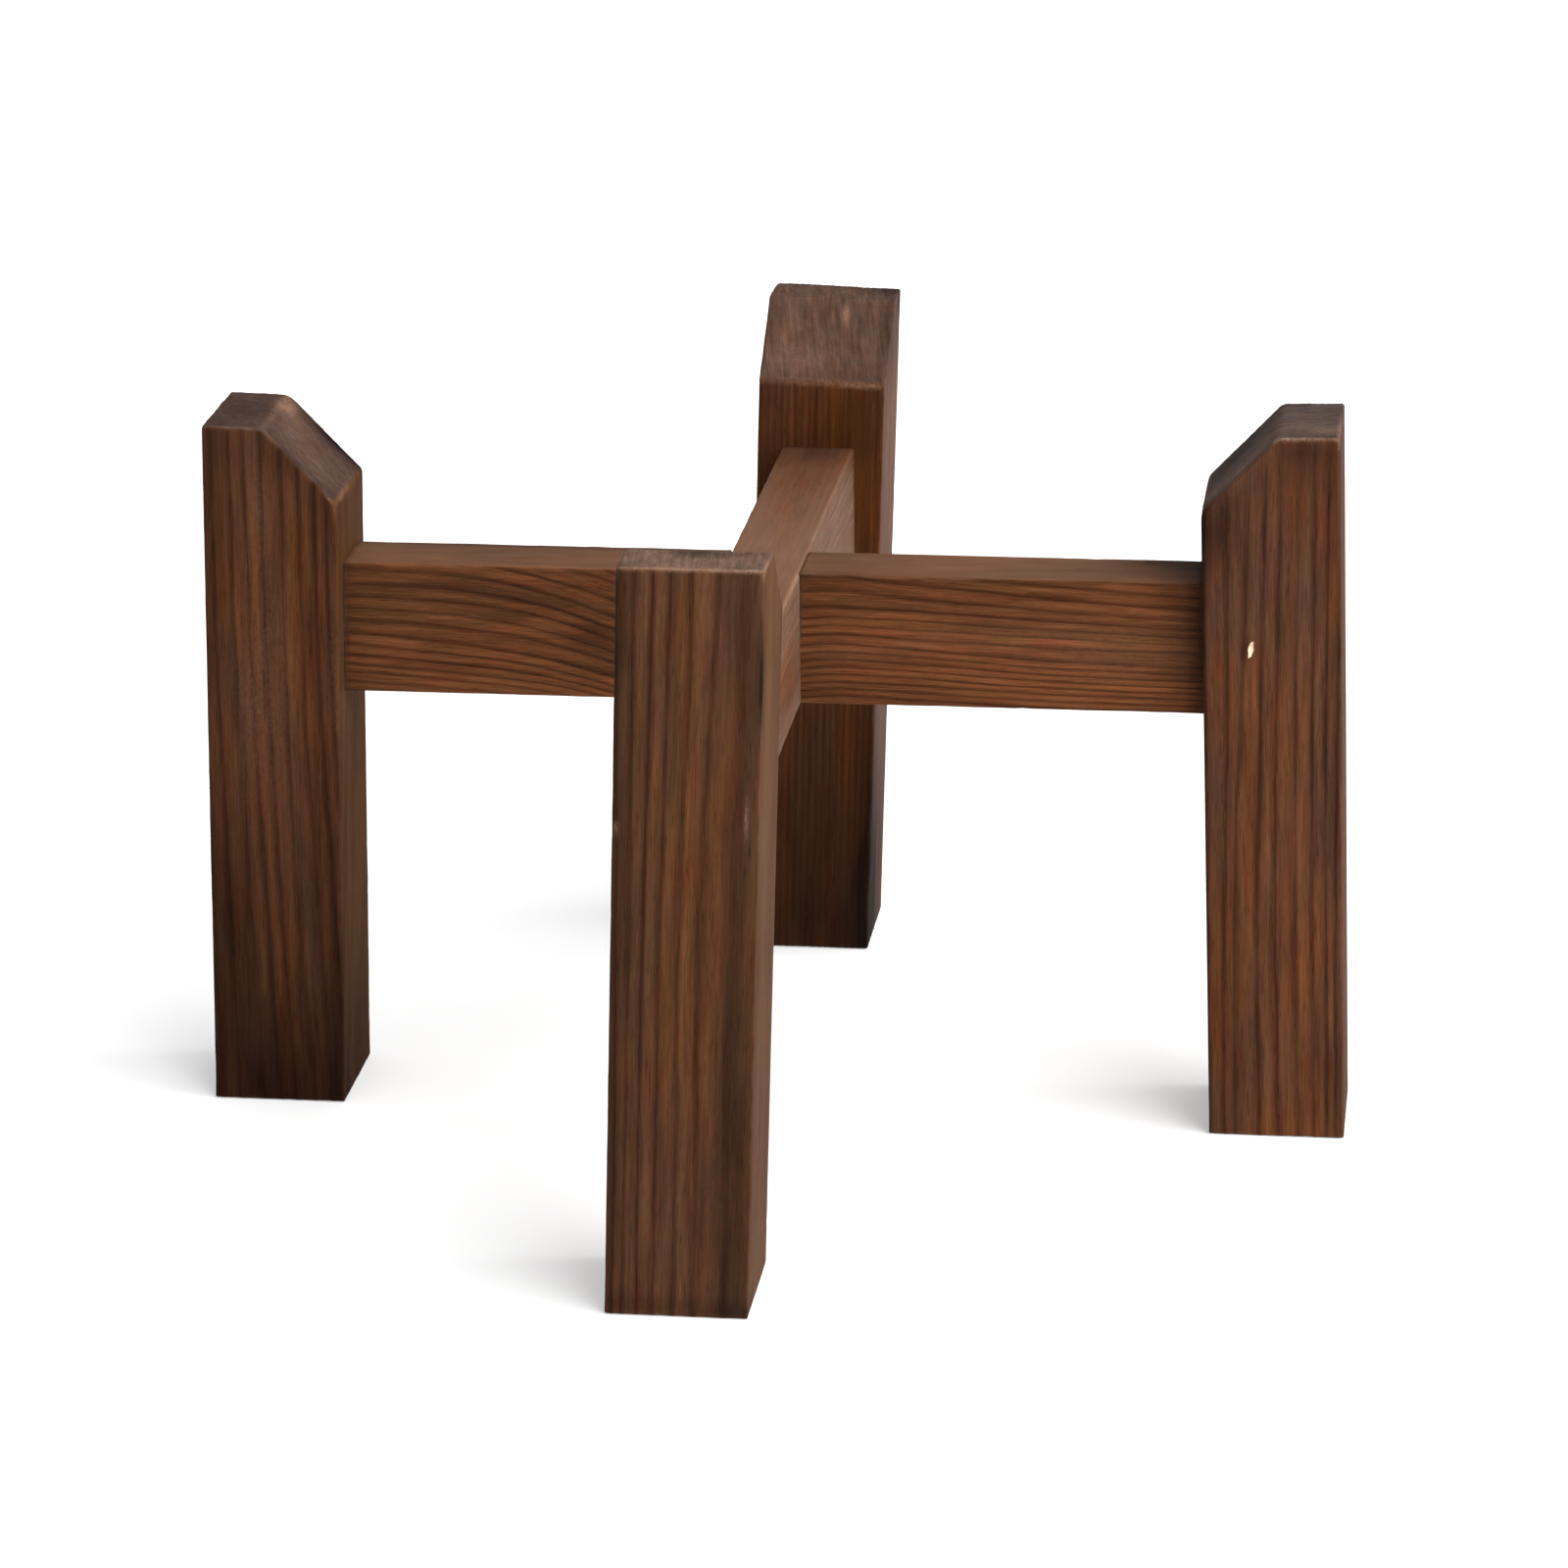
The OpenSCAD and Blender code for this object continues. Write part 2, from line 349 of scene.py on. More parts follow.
# Lines of the left-right rail's front face: distance below its top edge, along its length
LR_AT = (-127, -97, -75, -60, -48, -36, -22, 11.5, 46, 76, 120)
LR_LINES = (
    (-7.0, -3.2, 2.0, 6.8, 10.4, 13.8, 18.0, 21.6, 25.0, 28.8, 31.3, 33.8, 36.6, 39.8, 42.8),
    (-6.0, -2.0, 2.9, 7.6, 11.4, 15.4, 19.0, 24.2, 27.6, 30.5, 33.2, 35.6, 38.2, 41.2, 44.2),
    (-3.0, 2.0, 5.9, 10.2, 13.9, 17.9, 21.4, 26.8, 29.6, 32.4, 35.0, 37.4, 40.0, 43.0, 46.0),
    (0.0, 5.2, 9.6, 13.6, 17.2, 21.2, 24.6, 29.8, 32.6, 35.0, 37.2, 39.4, 42.0, 45.0, 48.0),
    (4.0, 9.4, 14.4, 18.4, 21.8, 25.2, 28.4, 33.2, 35.9, 38.0, 40.0, 42.2, 44.6, 47.0, 50.0),
    (8.0, 13.8, 19.0, 22.8, 26.0, 29.4, 32.4, 36.8, 39.2, 41.2, 43.2, 45.2, 47.2, 49.5, 52.0),
    (5.5, 10.0, 14.6, 18.4, 21.8, 25.0, 28.0, 31.6, 34.4, 36.6, 38.6, 40.6, 42.6, 44.6, 46.6),
    (-4.5, 0.0, 4.3, 9.8, 13.2, 15.8, 18.3, 21.2, 23.6, 26.0, 28.3, 30.6, 32.8, 35.0, 37.2),
    (0.0, 3.3, 7.6, 11.4, 14.4, 16.9, 20.0, 23.2, 25.2, 27.4, 29.6, 31.8, 34.0, 36.2, 38.4),
    (2.2, 6.1, 9.6, 12.8, 15.6, 18.1, 21.2, 25.3, 27.3, 29.4, 31.4, 33.4, 35.4, 37.4, 39.4),
    (4.8, 8.6, 11.6, 14.4, 16.9, 19.3, 21.6, 26.3, 28.4, 30.4, 32.4, 34.2, 36.0, 37.8, 39.6),
)
LR_KNOT = (-25.0, 13.0)   # hidden by the front post from the front, but open at the back


def rail_wood(key, own):
    """Wood coordinates of points in a rail's own frame: below the top edge, deep, along; and the ring number."""
    x, y, z = own.T
    below, deep = 20 - z, y + RAIL_T / 2
    wood = np.stack([below, deep, x], 1)
    wob = 0.45 * noise(wood, (14, 20, 60), 31, 1) + 0.14 * noise(wood, (5, 8, 18), 37, 2)
    if key == "left_right":
        lines = np.array(LR_LINES, float)
        place = sum(np.stack([np.interp(x + o, LR_AT, lines[:, i]) for i in range(lines.shape[1])], 1)
                    for o in (-10, -6, -2, 2, 6, 10)) / 6
        level = below + 0.75 * deep - 0.011 * deep ** 2 + wob
        k = ring_number(level, place, True, 3.0)
        r = np.hypot((x - LR_KNOT[0] - 0.25 * deep) / 1.25, below - LR_KNOT[1])
        near = step(9.5, 6.5, r + 0.5 * wob)
        return wood, k * (1 - near) + (20 + r / 1.15) * near
    level = below + 0.018 * (x + 127) + 1.35 * deep - 0.018 * deep ** 2 + wob * 1.3
    level = level + 2.2 * np.sin((x + 30) / 46.0) * 0.5
    return wood, level / 3.1


PROFILE_AT = (0, 0.07, 0.15, 0.26, 0.46, 0.62, 0.76, 0.88, 0.95, 1)
PROFILE = (0.88, 0.5, 0.2, 0.04, 0.0, 0.12, 0.42, 0.84, 1.0, 0.98)


def latewood(f):
    """How dark a ring is from its start, 0, to its end, 1."""
    return np.interp(f, PROFILE_AT, PROFILE)


# How far each head's torn streaks turn away from the saw's path
SKEW = {"front": 0.1, "left": -0.12, "right": 0.05, "rear": 0.17}


def saw_path(key, own):
    """Across and along the saw's path over a post's head, for streaks of torn grain."""
    x, y, z = own.T
    along = np.where(z < 60, x, np.minimum(x, SLOPE) * math.sqrt(2) + np.maximum(x - SLOPE, 0))
    return np.stack([y - SKEW[key] * along, along, 0 * x], 1)


# ---------------------------------------------------------------- wear, stains and marks, painted shade and painted highlights
# Blobs in wood coordinates (across, deep, height) in millimetres: centre, size, strength.
# Pale worn edges; along the rear post's crease below its slope and along the front-rear rail's right top edge they are
# painted highlight
WORN_AND_HIGHLIGHTS = {
    "front": [((10, 0.5, 212), (13, 2.2, 2.4), 1.4), ((30, 0.5, 213), (12, 2.2, 2.4), 1.5), ((39, 4, 213), (3, 8, 3), 0.9)],
    "left": [((18, 33, 211), (3, 9, 4), 1.1), ((20, 12, 210), (3.2, 12, 3), 0.7), ((38.5, 8, 190), (2.5, 14, 3), 0.9),
             ((8, 0, 212), (8, 1.8, 2), 0.5)],
    "right": [((31, 0.5, 212), (9, 2.6, 2.5), 1.3), ((40, 8, 212), (2.5, 12, 3), 0.8), ((24, 0.5, 212), (4, 2.6, 2.5), 1.2)],
    "rear": [((34, 0, 190), (7, 1.5, 2), 1.0), ((14, 0, 190), (20, 1.6, 2), 0.45), ((28, 20, 211), (2, 5, 3), 0.4)],
    "left_right": [((0, 4, -60), (2, 4, 30), 0.2), ((0, 23, 70), (2, 2, 40), 0.2)],
    "front_rear": [((0, 0, -30), (2.5, 3, 26), 1.0), ((4, 0, -16), (9, 1.5, 5), 0.8), ((0, 1, 40), (2, 2.5, 50), 0.45)],
}
# Pale marks and streaks that don't need an edge; those on the front-rear rail's right side are painted highlight
PALE_MARKS_AND_HIGHLIGHTS = {
    "front": [((1.2, 0, 138), (0.8, 1.0, 1.0), 1.2), ((36.4, 0, 143), (0.45, 1.2, 4.6), 1.0), ((5, 6, 213), (7, 9, 2), 0.6),
              ((33, 9, 214), (6, 4, 2), 0.25)],
    "left": [((19, 31, 210), (3, 7, 3), 1.1), ((24, 22, 206), (5, 10, 5), 0.3), ((32, 12, 198), (7, 6, 7), 0.2),
             ((17, 0, 132), (8, 6, 40), 0.2), ((40, 18, 138), (3, 24, 26), 0.3), ((16, 0, 190), (3, 5, 16), 0.14)],
    "right": [((35, 9, 212), (5, 5, 2), 0.5), ((27, 14, 212), (5, 3, 2), 0.25), ((4, 7, 194), (5, 7, 5), 0.3),
              ((11, 7, 201), (5, 7, 5), 0.3), ((18, 7, 208), (5, 7, 5), 0.32)],
    "rear": [((25, 18, 208), (1.0, 3.0, 3.0), 1.6), ((12, 6, 196), (10, 6, 6), 0.35), ((8, 14, 204), (3, 6, 6), 0.25)],
    "left_right": [((19, 0, 84), (5, 6, 40), 0.14), ((26, 0, 100), (5, 6, 24), 0.1), ((24, 0, 24), (3.5, 5, 16), 0.1)],
    "front_rear": [((6, 0, -12), (7, 2, 6), 0.4), ((36, 0, -40), (5, 2, 34), 0.3), ((10, 0, -62), (3.5, 2, 14), 0.5),
                   ((12, 0, 30), (16, 2, 16), 0.45), ((14, 0, 72), (16, 2, 24), 0.2), ((0, 10, -4), (3, 12, 24), 0.3)],
}
# Dark blobs: scorch and soot of the carbonised wood, and painted shade: the rails' ends where they meet the posts, the
# rear post's face beside the front-rear rail, the right post's shadow across the left-right rail's top, the front-rear
# rail's top at the rear post, and part of the right post's slope, which faces away from the light; the posts also get
# darker towards the feet
SCORCH_AND_SHADE = {
    "front": [((33.5, 0, 196), (3.6, 8, 34), 0.26), ((38, 0, 178), (3.4, 8, 24), 0.3), ((39.7, 0, 182), (0.6, 1.6, 12), 0.9),
              ((35.1, 0, 60), (5, 7, 100), 0.56), ((0, 0, 208), (4.4, 8, 34), 0.25), ((0, 0, 110), (6, 7, 220), 0.5),
              ((20, 4, 0), (40, 8, 3), 0.4), ((21, 15, 213), (9, 4, 3), 0.75), ((20, 0, 26), (40, 8, 36), 0.12), ((24.5, 0, 60), (1.6, 5, 60), -0.2)],
    "left": [((4, 0, 190), (4, 10, 60), 0.3), ((0, 0, 120), (1.3, 8, 150), 0.3), ((20, 20, 0), (60, 60, 44), 0.85),
             ((25, 0, 202), (5, 2.5, 5), 0.14), ((40, 8, 186), (4, 10, 12), 0.25), ((30, 0, 70), (5, 6, 24), 0.15), ((36, 0, 120), (4, 8, 80), 0.12), ((40, 40, 168), (20, 4, 40), 0.7),
             ((38, 0, 60), (3, 8, 60), 0.4), ((7, 0, 66), (8, 12, 34), 0.45), ((8, 22, 212), (9, 12, 3), 0.3),
             ((33, 38, 200), (12, 6, 12), 0.75), ((22, 39, 210), (8, 3, 4), 0.5), ((36, 0, 194), (5, 3, 8), 0.25),
             ((26, 0, 204), (6, 3, 6), 0.3)],
    "right": [((0, 0, 160), (1.3, 10, 60), 0.5), ((0.3, 0, 60), (1.3, 8, 90), 0.45), ((6, 0, 40), (6, 8, 60), 0.3),
              ((35, 0, 202), (7, 8, 17), 0.25), ((12.2, 0, 149), (1.3, 2, 3.5), 0.5), ((3, 0, 184), (8, 8, 14), 0.45),
              ((9, 0, 194), (5, 3, 5), 0.3), ((15, 0, 200), (5, 3, 5), 0.25), ((38, 0, 90), (2.4, 5, 120), 0.3),
              ((8, 32, 200), (16, 13, 16), 0.62), ((26, 0, 206), (10, 4, 9), 0.3), ((39, 30, 213), (4, 14, 3), 0.2), ((40, 4, 190), (1.6, 6, 34), 0.45), ((30, 0, 208), (12, 3, 3), 0.2),
              ((32, 0, 12), (10, 6, 16), 0.2),
              ((5, 0, 186), (8, 5, 9), 0.2)],
    "rear": [((30, 0, 179), (8, 10, 14), 0.4), ((24, 0, 14), (36, 24, 46), 0.62), ((40, 0, 60), (8, 12, 60), 0.35),
             ((38, 36, 210), (7, 5, 5), 0.8), ((40, 18, 205), (3, 22, 18), 0.5), ((3, 0, 150), (4, 10, 30), 0.3),
             ((20, 40, 212), (26, 2.2, 3), 0.7), ((20, 0, 50), (40, 12, 70), 0.22), ((22, 0, 170), (20, 6, 4), 0.2),
             ((40, 20, 16), (4, 26, 46), 0.5)],
    "left_right": [((20.5, 0, -52), (5, 8, 9), 0.6), ((13, 6, -25), (7, 16, 8), 0.9), ((20, 0, 127), (40, 30, 5), 0.6),
                   ((2, 0, 20), (4, 4, 30), 0.3), ((0, 20, 118), (9, 14, 18), 0.7), ((0, 22, -60), (3, 3, 70), 0.45),
                   ((3, 0, -95), (5, 4, 30), 0.25), ((0, 12, -95), (3, 14, 52), 0.2), ((9, 0, -72), (6, 5, 22), 0.25), ((33, 0, -112), (6, 5, 16), 0.15), ((36, 0, 60), (4, 5, 30), 0.15), ((20, 0, 118), (40, 6, 5), 0.18),
                   ((0, 12, 22), (3, 14, 18), 0.18)],
    "front_rear": [((20, 0, 127), (40, 30, 5), 0.12), ((0, 12, 112), (6, 14, 40), 0.3), ((0, 13, 120), (5, 16, 12), 0.3),
                   ((34, 0, -42), (10, 4, 30), 0.36)],
}
# Orange-brown streaks
WARM = {
    "front": [((22, 0, 90), (9, 8, 70), 0.5)],
    "left": [((17, 0, 130), (9, 9, 50), 0.4)],
    "right": [((13.4, 0, 116), (1.8, 6, 36), 1.3), ((14.0, 0, 142), (1.0, 4, 6), 1.0), ((22, 0, 40), (8, 8, 40), 0.5),
              ((20, 0, 196), (14, 6, 14), 0.5)],
    "rear": [((10, 0, 168), (14, 8, 16), 0.6), ((35, 0, 152), (6, 8, 20), 0.7)],
    "left_right": [((30, 0, 78), (16, 30, 50), 1.0), ((30, 0, -112), (8, 8, 22), 0.5), ((31, 0, -66), (6, 8, 14), 0.8),
                   ((8, 0, 112), (6, 6, 14), 0.6)],
    "front_rear": [((0, 12, 95), (6, 14, 44), 1.0), ((0, 12, 122), (5, 16, 14), 1.1), ((27, 0, -42), (15, 4, 28), 1.2)],
}
# Where the rings' lines fade out
CALM = {
    "front": [((36, 0, 190), (5.5, 8, 40), 0.85), ((34.5, 0, 70), (4, 8, 90), 0.7)],
    "left": [((20, 0, 0), (60, 60, 50), 0.4)],
    "right": [((18, 0, 206), (30, 8, 12), 0.7)],
    "rear": [((31, 0, 165), (10, 10, 40), 0.8), ((20, 0, 0), (60, 60, 60), 0.6)],
    "left_right": [],
    "front_rear": [((12, 0, 0), (400, 400, 400), 0.6), ((12, 0, 40), (30, 3, 60), 0.35)],
}


def add_float(me, name, values):
    a = me.attributes.new(name, "FLOAT", "POINT")
    a.data.foreach_set("value", np.asarray(values, np.float32))


def add_vector(me, name, values):
    a = me.attributes.new(name, "FLOAT_VECTOR", "POINT")
    a.data.foreach_set("vector", np.asarray(values, np.float32).ravel())


def points_of(me):
    co = np.empty(len(me.vertices) * 3, np.float32)
    me.vertices.foreach_get("co", co)
    return co.reshape(-1, 3).astype(float) * 1000


def finish_wood(ob, key, own_of, wood_of, normals, offsets, seed, grain_axis, chip=None):
    """Attributes that the wood material reads, and the shading of a finished mesh."""
    me = ob.data
    own = own_of(points_of(me))
    wood, ring = wood_of(key, own)
    d = own @ normals.T - offsets
    d.sort(axis=1)
    edge = np.clip(1 + (d[:, -2] + 0.1) / 1.3, 0, 1)
    lump = 0.5 + 0.5 * noise(wood, (2.6, 2.6, 6), 50 + seed, 2)
    # pale wear and marks, with painted highlights
    worn_and_highlight = edge * (blobs(wood, WORN_AND_HIGHLIGHTS[key]) * (0.4 + 0.9 * lump) + 0.16 * np.clip(lump * 2 - 0.9, 0, 1))
    worn_and_highlight = np.clip(worn_and_highlight + blobs(wood, PALE_MARKS_AND_HIGHLIGHTS[key]) * (0.5 + 0.6 * lump), 0, 1)
    # scorch, and painted shade at joints and beside the rails
    scorch_and_shade = blobs(wood, SCORCH_AND_SHADE[key]) * (0.75 + 0.5 * (0.5 + 0.5 * noise(wood, (5, 5, 22), 60 + seed, 2)))
    warm = blobs(wood, WARM[key])
    n = np.empty(len(me.vertices) * 3, np.float32)
    me.vertices.foreach_get("normal", n)
    n = n.reshape(-1, 3).astype(float)
    up = np.clip(n[:, 2], 0, 1)
    side = np.clip(n[:, 0], 0, 1)
    local = own_of(points_of(me) + n) - own
    end = np.abs(local[:, grain_axis])
    deep_in = step(-1.3, -2.2, d[:, -1])
    add_vector(me, "wood", wood + seed * 61.0)
    add_float(me, "ring", ring)
    add_float(me, "worn_and_highlight", worn_and_highlight)
    add_float(me, "scorch_and_shade", np.clip(scorch_and_shade, 0, 1))
    add_float(me, "warm", np.clip(warm, 0, 1))
    add_float(me, "endgrain", step(0.45, 0.75, end) * (1 - deep_in))
    # masks for the painted sheen on what faces up and the painted lit side of what faces right
    add_float(me, "upward", step(0.35, 0.9, up) * (1 - deep_in))
    add_float(me, "sideways", step(0.35, 0.9, side) * (1 - deep_in))
    add_float(me, "calm", np.clip(blobs(wood, CALM[key]), 0, 1))
    add_vector(me, "cut", (saw_path(key, own) if key in SKEW else wood[:, [1, 0, 2]]) + seed * 37.0)
    bare = np.zeros(len(me.polygons), np.float32)
    if chip is not None:
        mid = np.empty(len(bare) * 3, np.float32)
        me.polygons.foreach_get("center", mid)
        bare = chip(own_of(mid.reshape(-1, 3).astype(float) * 1000)).astype(np.float32)
    me.attributes.new("bare", "FLOAT", "FACE").data.foreach_set("value", bare)
    me.shade_smooth()
    me.set_sharp_from_angle(angle=math.radians(38))
    return own


def bake_map(ob, own, islands, size):
    """A map for the bake: each face goes flat onto the island of the plane it lies in.
    islands: (face test, u function, v function, u offset, v offset)."""
    me = ob.data
    loops = np.empty(len(me.loops), np.int32)
    me.loops.foreach_get("vertex_index", loops)
    starts = np.empty(len(me.polygons), np.int32)
    totals = np.empty(len(me.polygons), np.int32)
    me.polygons.foreach_get("loop_start", starts)
    me.polygons.foreach_get("loop_total", totals)
    face = np.repeat(np.arange(len(starts)), totals)
    mid = np.zeros((len(starts), 3))
    for i in range(3):
        mid[:, i] = np.bincount(face, own[loops, i], len(starts)) / totals
    uv = np.zeros((len(loops), 2))
    which = islands["pick"](mid)
    for i, (fu, fv, ou, ov) in enumerate(islands["flat"]):
        on = which[face] == i
        p = own[loops[on]]
        uv[on, 0] = fu(p) + ou
        uv[on, 1] = fv(p) + ov
    layer = me.uv_layers.new(name="OFBake")
    layer.data.foreach_set("uv", (uv / size).astype(np.float32).ravel())


# ---------------------------------------------------------------- posts
def post_planes(r, tilt, top):
    q = math.sqrt(0.5)
    c, s = math.cos(tilt), math.sin(tilt)
    foot = -(r.T @ np.array([0, 0, 1.0]))
    normals = np.array([[-1, 0, 0], [1, 0, 0], [0, -1, 0], [0, 1, 0], [0, -s, c], [-q, -q * s, q * c], foot])
    m = np.array([0, 0, MID])
    offsets = np.array([0, POST_W, POST_W / 2, POST_W / 2, top * c, q * (top * c - SLOPE), MID + foot @ m])
    return normals, offsets


# Where a post's edges are worn rounder, in its own frame: centre, size, extra radius
ROUNDER = {
    "front": [((40, 8, 212), (3, 4, 3), 0.9), ((40, 20, 205), (4, 4, 8), 0.5), ((40, -20, 212), (4, 4, 4), 0.5)],
    "left": [((22, -14, 212), (4, 7, 4), 1.1), ((0, 18, 190), (3, 8, 4), 1.0), ((40, 20, 212), (3, 6, 3), 0.4),
             ((22, 12, 212), (4, 9, 4), 0.7), ((13, 20, 203), (8, 4, 8), 0.8)],
    "right": [((40, -8, 212), (4, 12, 4), 0.6), ((0, -20, 190), (4, 5, 6), 1.2), ((22, -20, 212), (5, 4, 4), 0.5),
              ((12, -20, 201), (8, 4, 8), 0.7)],
    "rear": [((40, 20, 212), (5, 5, 5), 0.8), ((0, -18, 190), (4, 6, 4), 0.4)],
}


# The same for the rails: along, across and up in a rail's own frame
RAIL_ROUNDER = {
    "left_right": [((34, -11.5, 20), (30, 4, 4), 0.9)],
    "front_rear": [((-22, -11.5, 20), (16, 4, 4), 0.9)],
}
CHIP_W, CHIP_L, CHIP_D, CHIP_TILT = 0.86, 2.65, 0.5, math.radians(6)


def chip_width(t):
    return np.clip(1 - np.abs(t) ** 1.35, 0, 1)


def chip_shape():
    """The spindle-shaped gouge over the right post's brad, in the post's own frame."""
    rows, sides = 15, 20
    centre = np.array([BRAD_IN, -POST_W / 2, MID + BRAD_UP])
    c, s = math.cos(CHIP_TILT), math.sin(CHIP_TILT)
    pts, faces = [centre - [s * CHIP_L, 0, c * CHIP_L]], []
    for i in range(1, rows):
        t = -1 + 2 * i / rows
        w = chip_width(t)
        for j in range(sides):
            a = 2 * math.pi * j / sides
            u, v, up = CHIP_W * w * math.cos(a), CHIP_D * w * math.sin(a), t * CHIP_L
            pts.append(centre + [u * c + up * s, v, up * c - u * s])
    pts.append(centre + [s * CHIP_L, 0, c * CHIP_L])
    last = len(pts) - 1
    for j in range(sides):
        k = (j + 1) % sides
        faces.append([0, 1 + k, 1 + j])
        for i in range(rows - 2):
            a, b = 1 + i * sides, 1 + (i + 1) * sides
            faces.append([a + j, a + k, b + k, b + j])
        b = 1 + (rows - 2) * sides
        faces.append([b + j, b + k, last])
    return np.array(pts), faces


def in_chip(own):
    c, s = math.cos(CHIP_TILT), math.sin(CHIP_TILT)
    q = own - np.array([BRAD_IN, -POST_W / 2, MID + BRAD_UP])
    up = q[:, 0] * s + q[:, 2] * c
    u = q[:, 0] * c - q[:, 2] * s
    w = chip_width(up / (CHIP_L + 0.05))
    inside = (np.abs(q[:, 1]) < 0.7) & (np.abs(u) < CHIP_W * w + 0.01) & (np.abs(up) < CHIP_L)
    return inside * (0.78 + 0.22 * step(1.3, -0.2, up))


def build_post(key, seed):
    place, back, r, _ = post_place(key)
    tilt, high = TILT[key], POST_H + EXTRA[key]
    normals, offsets = post_planes(r, tilt, high)
    xs = ticks(0, POST_W, 0.5, extra=(SLOPE,))
    ys = ticks(-POST_W / 2, POST_W / 2, 0.5)
    zs = ticks(0, POST_H, 2.1) / POST_H
    ijk, quads = box_grid(len(xs), len(ys), len(zs))
    x, y, t = xs[ijk[:, 0]], ys[ijk[:, 1]], zs[ijk[:, 2]]
    top = np.where(x >= SLOPE, high + y * math.tan(tilt),
                   high + (x - SLOPE + y * math.sin(tilt)) / math.cos(tilt))
    foot = normals[6]
    low = (offsets[6] - foot[0] * x - foot[1] * y) / foot[2]
    p = np.stack([x, y, low + t * (top - low)], 1)
    base = 0.95 + 0.3 * noise(p, (7, 7, 9), 70 + seed, 2) + 0.18 * noise(p, (2, 2, 3), 75 + seed)
    base += 1.3 * np.clip(noise(p, (2.6, 2.6, 3.4), 77 + seed) - 0.5, 0, 1)
    radius = np.clip(base + blobs(p - np.array([0, 0, EXTRA[key]]), ROUNDER[key]), 0.45, 2.3)
    radius = radius * (1 - 0.45 * step(6, 0, p[:, 2]))
    p, g = eased(p, normals, offsets, radius)
    wood, ring = post_wood(key, p)
    late = latewood(ring % 1)
    end = np.abs(g[:, 2])
    relief = 0.055 * (1 - late) * (1 + 0.5 * end) + 0.03 * (1 + noise(p, (9, 9, 34), 80 + seed, 2))
    torn = noise(saw_path(key, p), (1.3, 9.0, 1.0), 85 + seed, 2)
    relief += (0.05 * (1 + torn) + 0.12 * np.clip(torn - 0.35, 0, 1)) * step(0.4, 0.8, end) * step(20, 60, p[:, 2])
    relief += 0.10 * np.clip(noise(p, (3, 3, 5), 90 + seed) - 0.62, 0, 1) / 0.38
    p = p - g * (relief * step(0, 0.6, radius))[:, None]
    ob = make_object("wood_post_" + key, place(p), quads)
    turn = rot_z(POSTS[key][0])
    t0 = meet(key)
    cut(ob, block("cutter", (-8, -TENON_T / 2 - GAP, -RAIL_H / 2 + SHOULDER - GAP),
                  (TENON_L + REST, TENON_T / 2 + GAP, RAIL_H / 2 - SHOULDER + GAP),
                  lambda q: q @ turn.T + t0))
    chip = None
    if key == "right":
        pts, faces = chip_shape()
        tool = make_object("cutter", place(pts), faces)
        cut(ob, tool)
        chip = in_chip
    brad_holes(ob, key)
    own = finish_wood(ob, key, back, post_wood, normals, offsets, seed, 2, chip)

    def pick(m):
        d = m @ normals.T - offsets
        best = d.argmax(1)
        inner = d.max(1) < -1.35
        c = m - np.array([0, 0, MID])
        wall = np.where(np.abs(c[:, 1]) > TENON_T / 2 - 0.6, np.where(c[:, 1] > 0, 8, 7),
                        np.where(np.abs(c[:, 2]) > RAIL_H / 2 - SHOULDER - 1.0, np.where(c[:, 2] > 0, 10, 9), 11))
        return np.where(inner, wall, best)

    q = math.sqrt(0.5)
    flat = [
        (lambda p: 20 - p[:, 1], lambda p: p[:, 2], 1, 1),            # inner face
        (lambda p: p[:, 1] + 20, lambda p: p[:, 2], 43, 1),           # outer face
        (lambda p: p[:, 0], lambda p: p[:, 2], 85, 1),                # -y side
        (lambda p: 40 - p[:, 0], lambda p: p[:, 2], 127, 1),          # +y side
        (lambda p: p[:, 1] + 20, lambda p: p[:, 0] - SLOPE, 169, 45),  # flat top
        (lambda p: p[:, 1] + 20, lambda p: (p[:, 0] + p[:, 2] - POST_H + SLOPE) * q, 169, 66),  # slope
        (lambda p: p[:, 1] + 20, lambda p: p[:, 0], 169, 1),          # foot
        (lambda p: p[:, 0], lambda p: p[:, 2] - MID + 15, 170, 101),
        (lambda p: p[:, 0], lambda p: p[:, 2] - MID + 15, 170, 134),
        (lambda p: p[:, 0], lambda p: p[:, 1] + 6, 170, 167),
        (lambda p: p[:, 0], lambda p: p[:, 1] + 6, 170, 182),
        (lambda p: p[:, 1] + 6, lambda p: p[:, 2] - MID + 15, 198, 101),
    ]
    bake_map(ob, own, {"pick": pick, "flat": flat}, 219.0)
    return ob


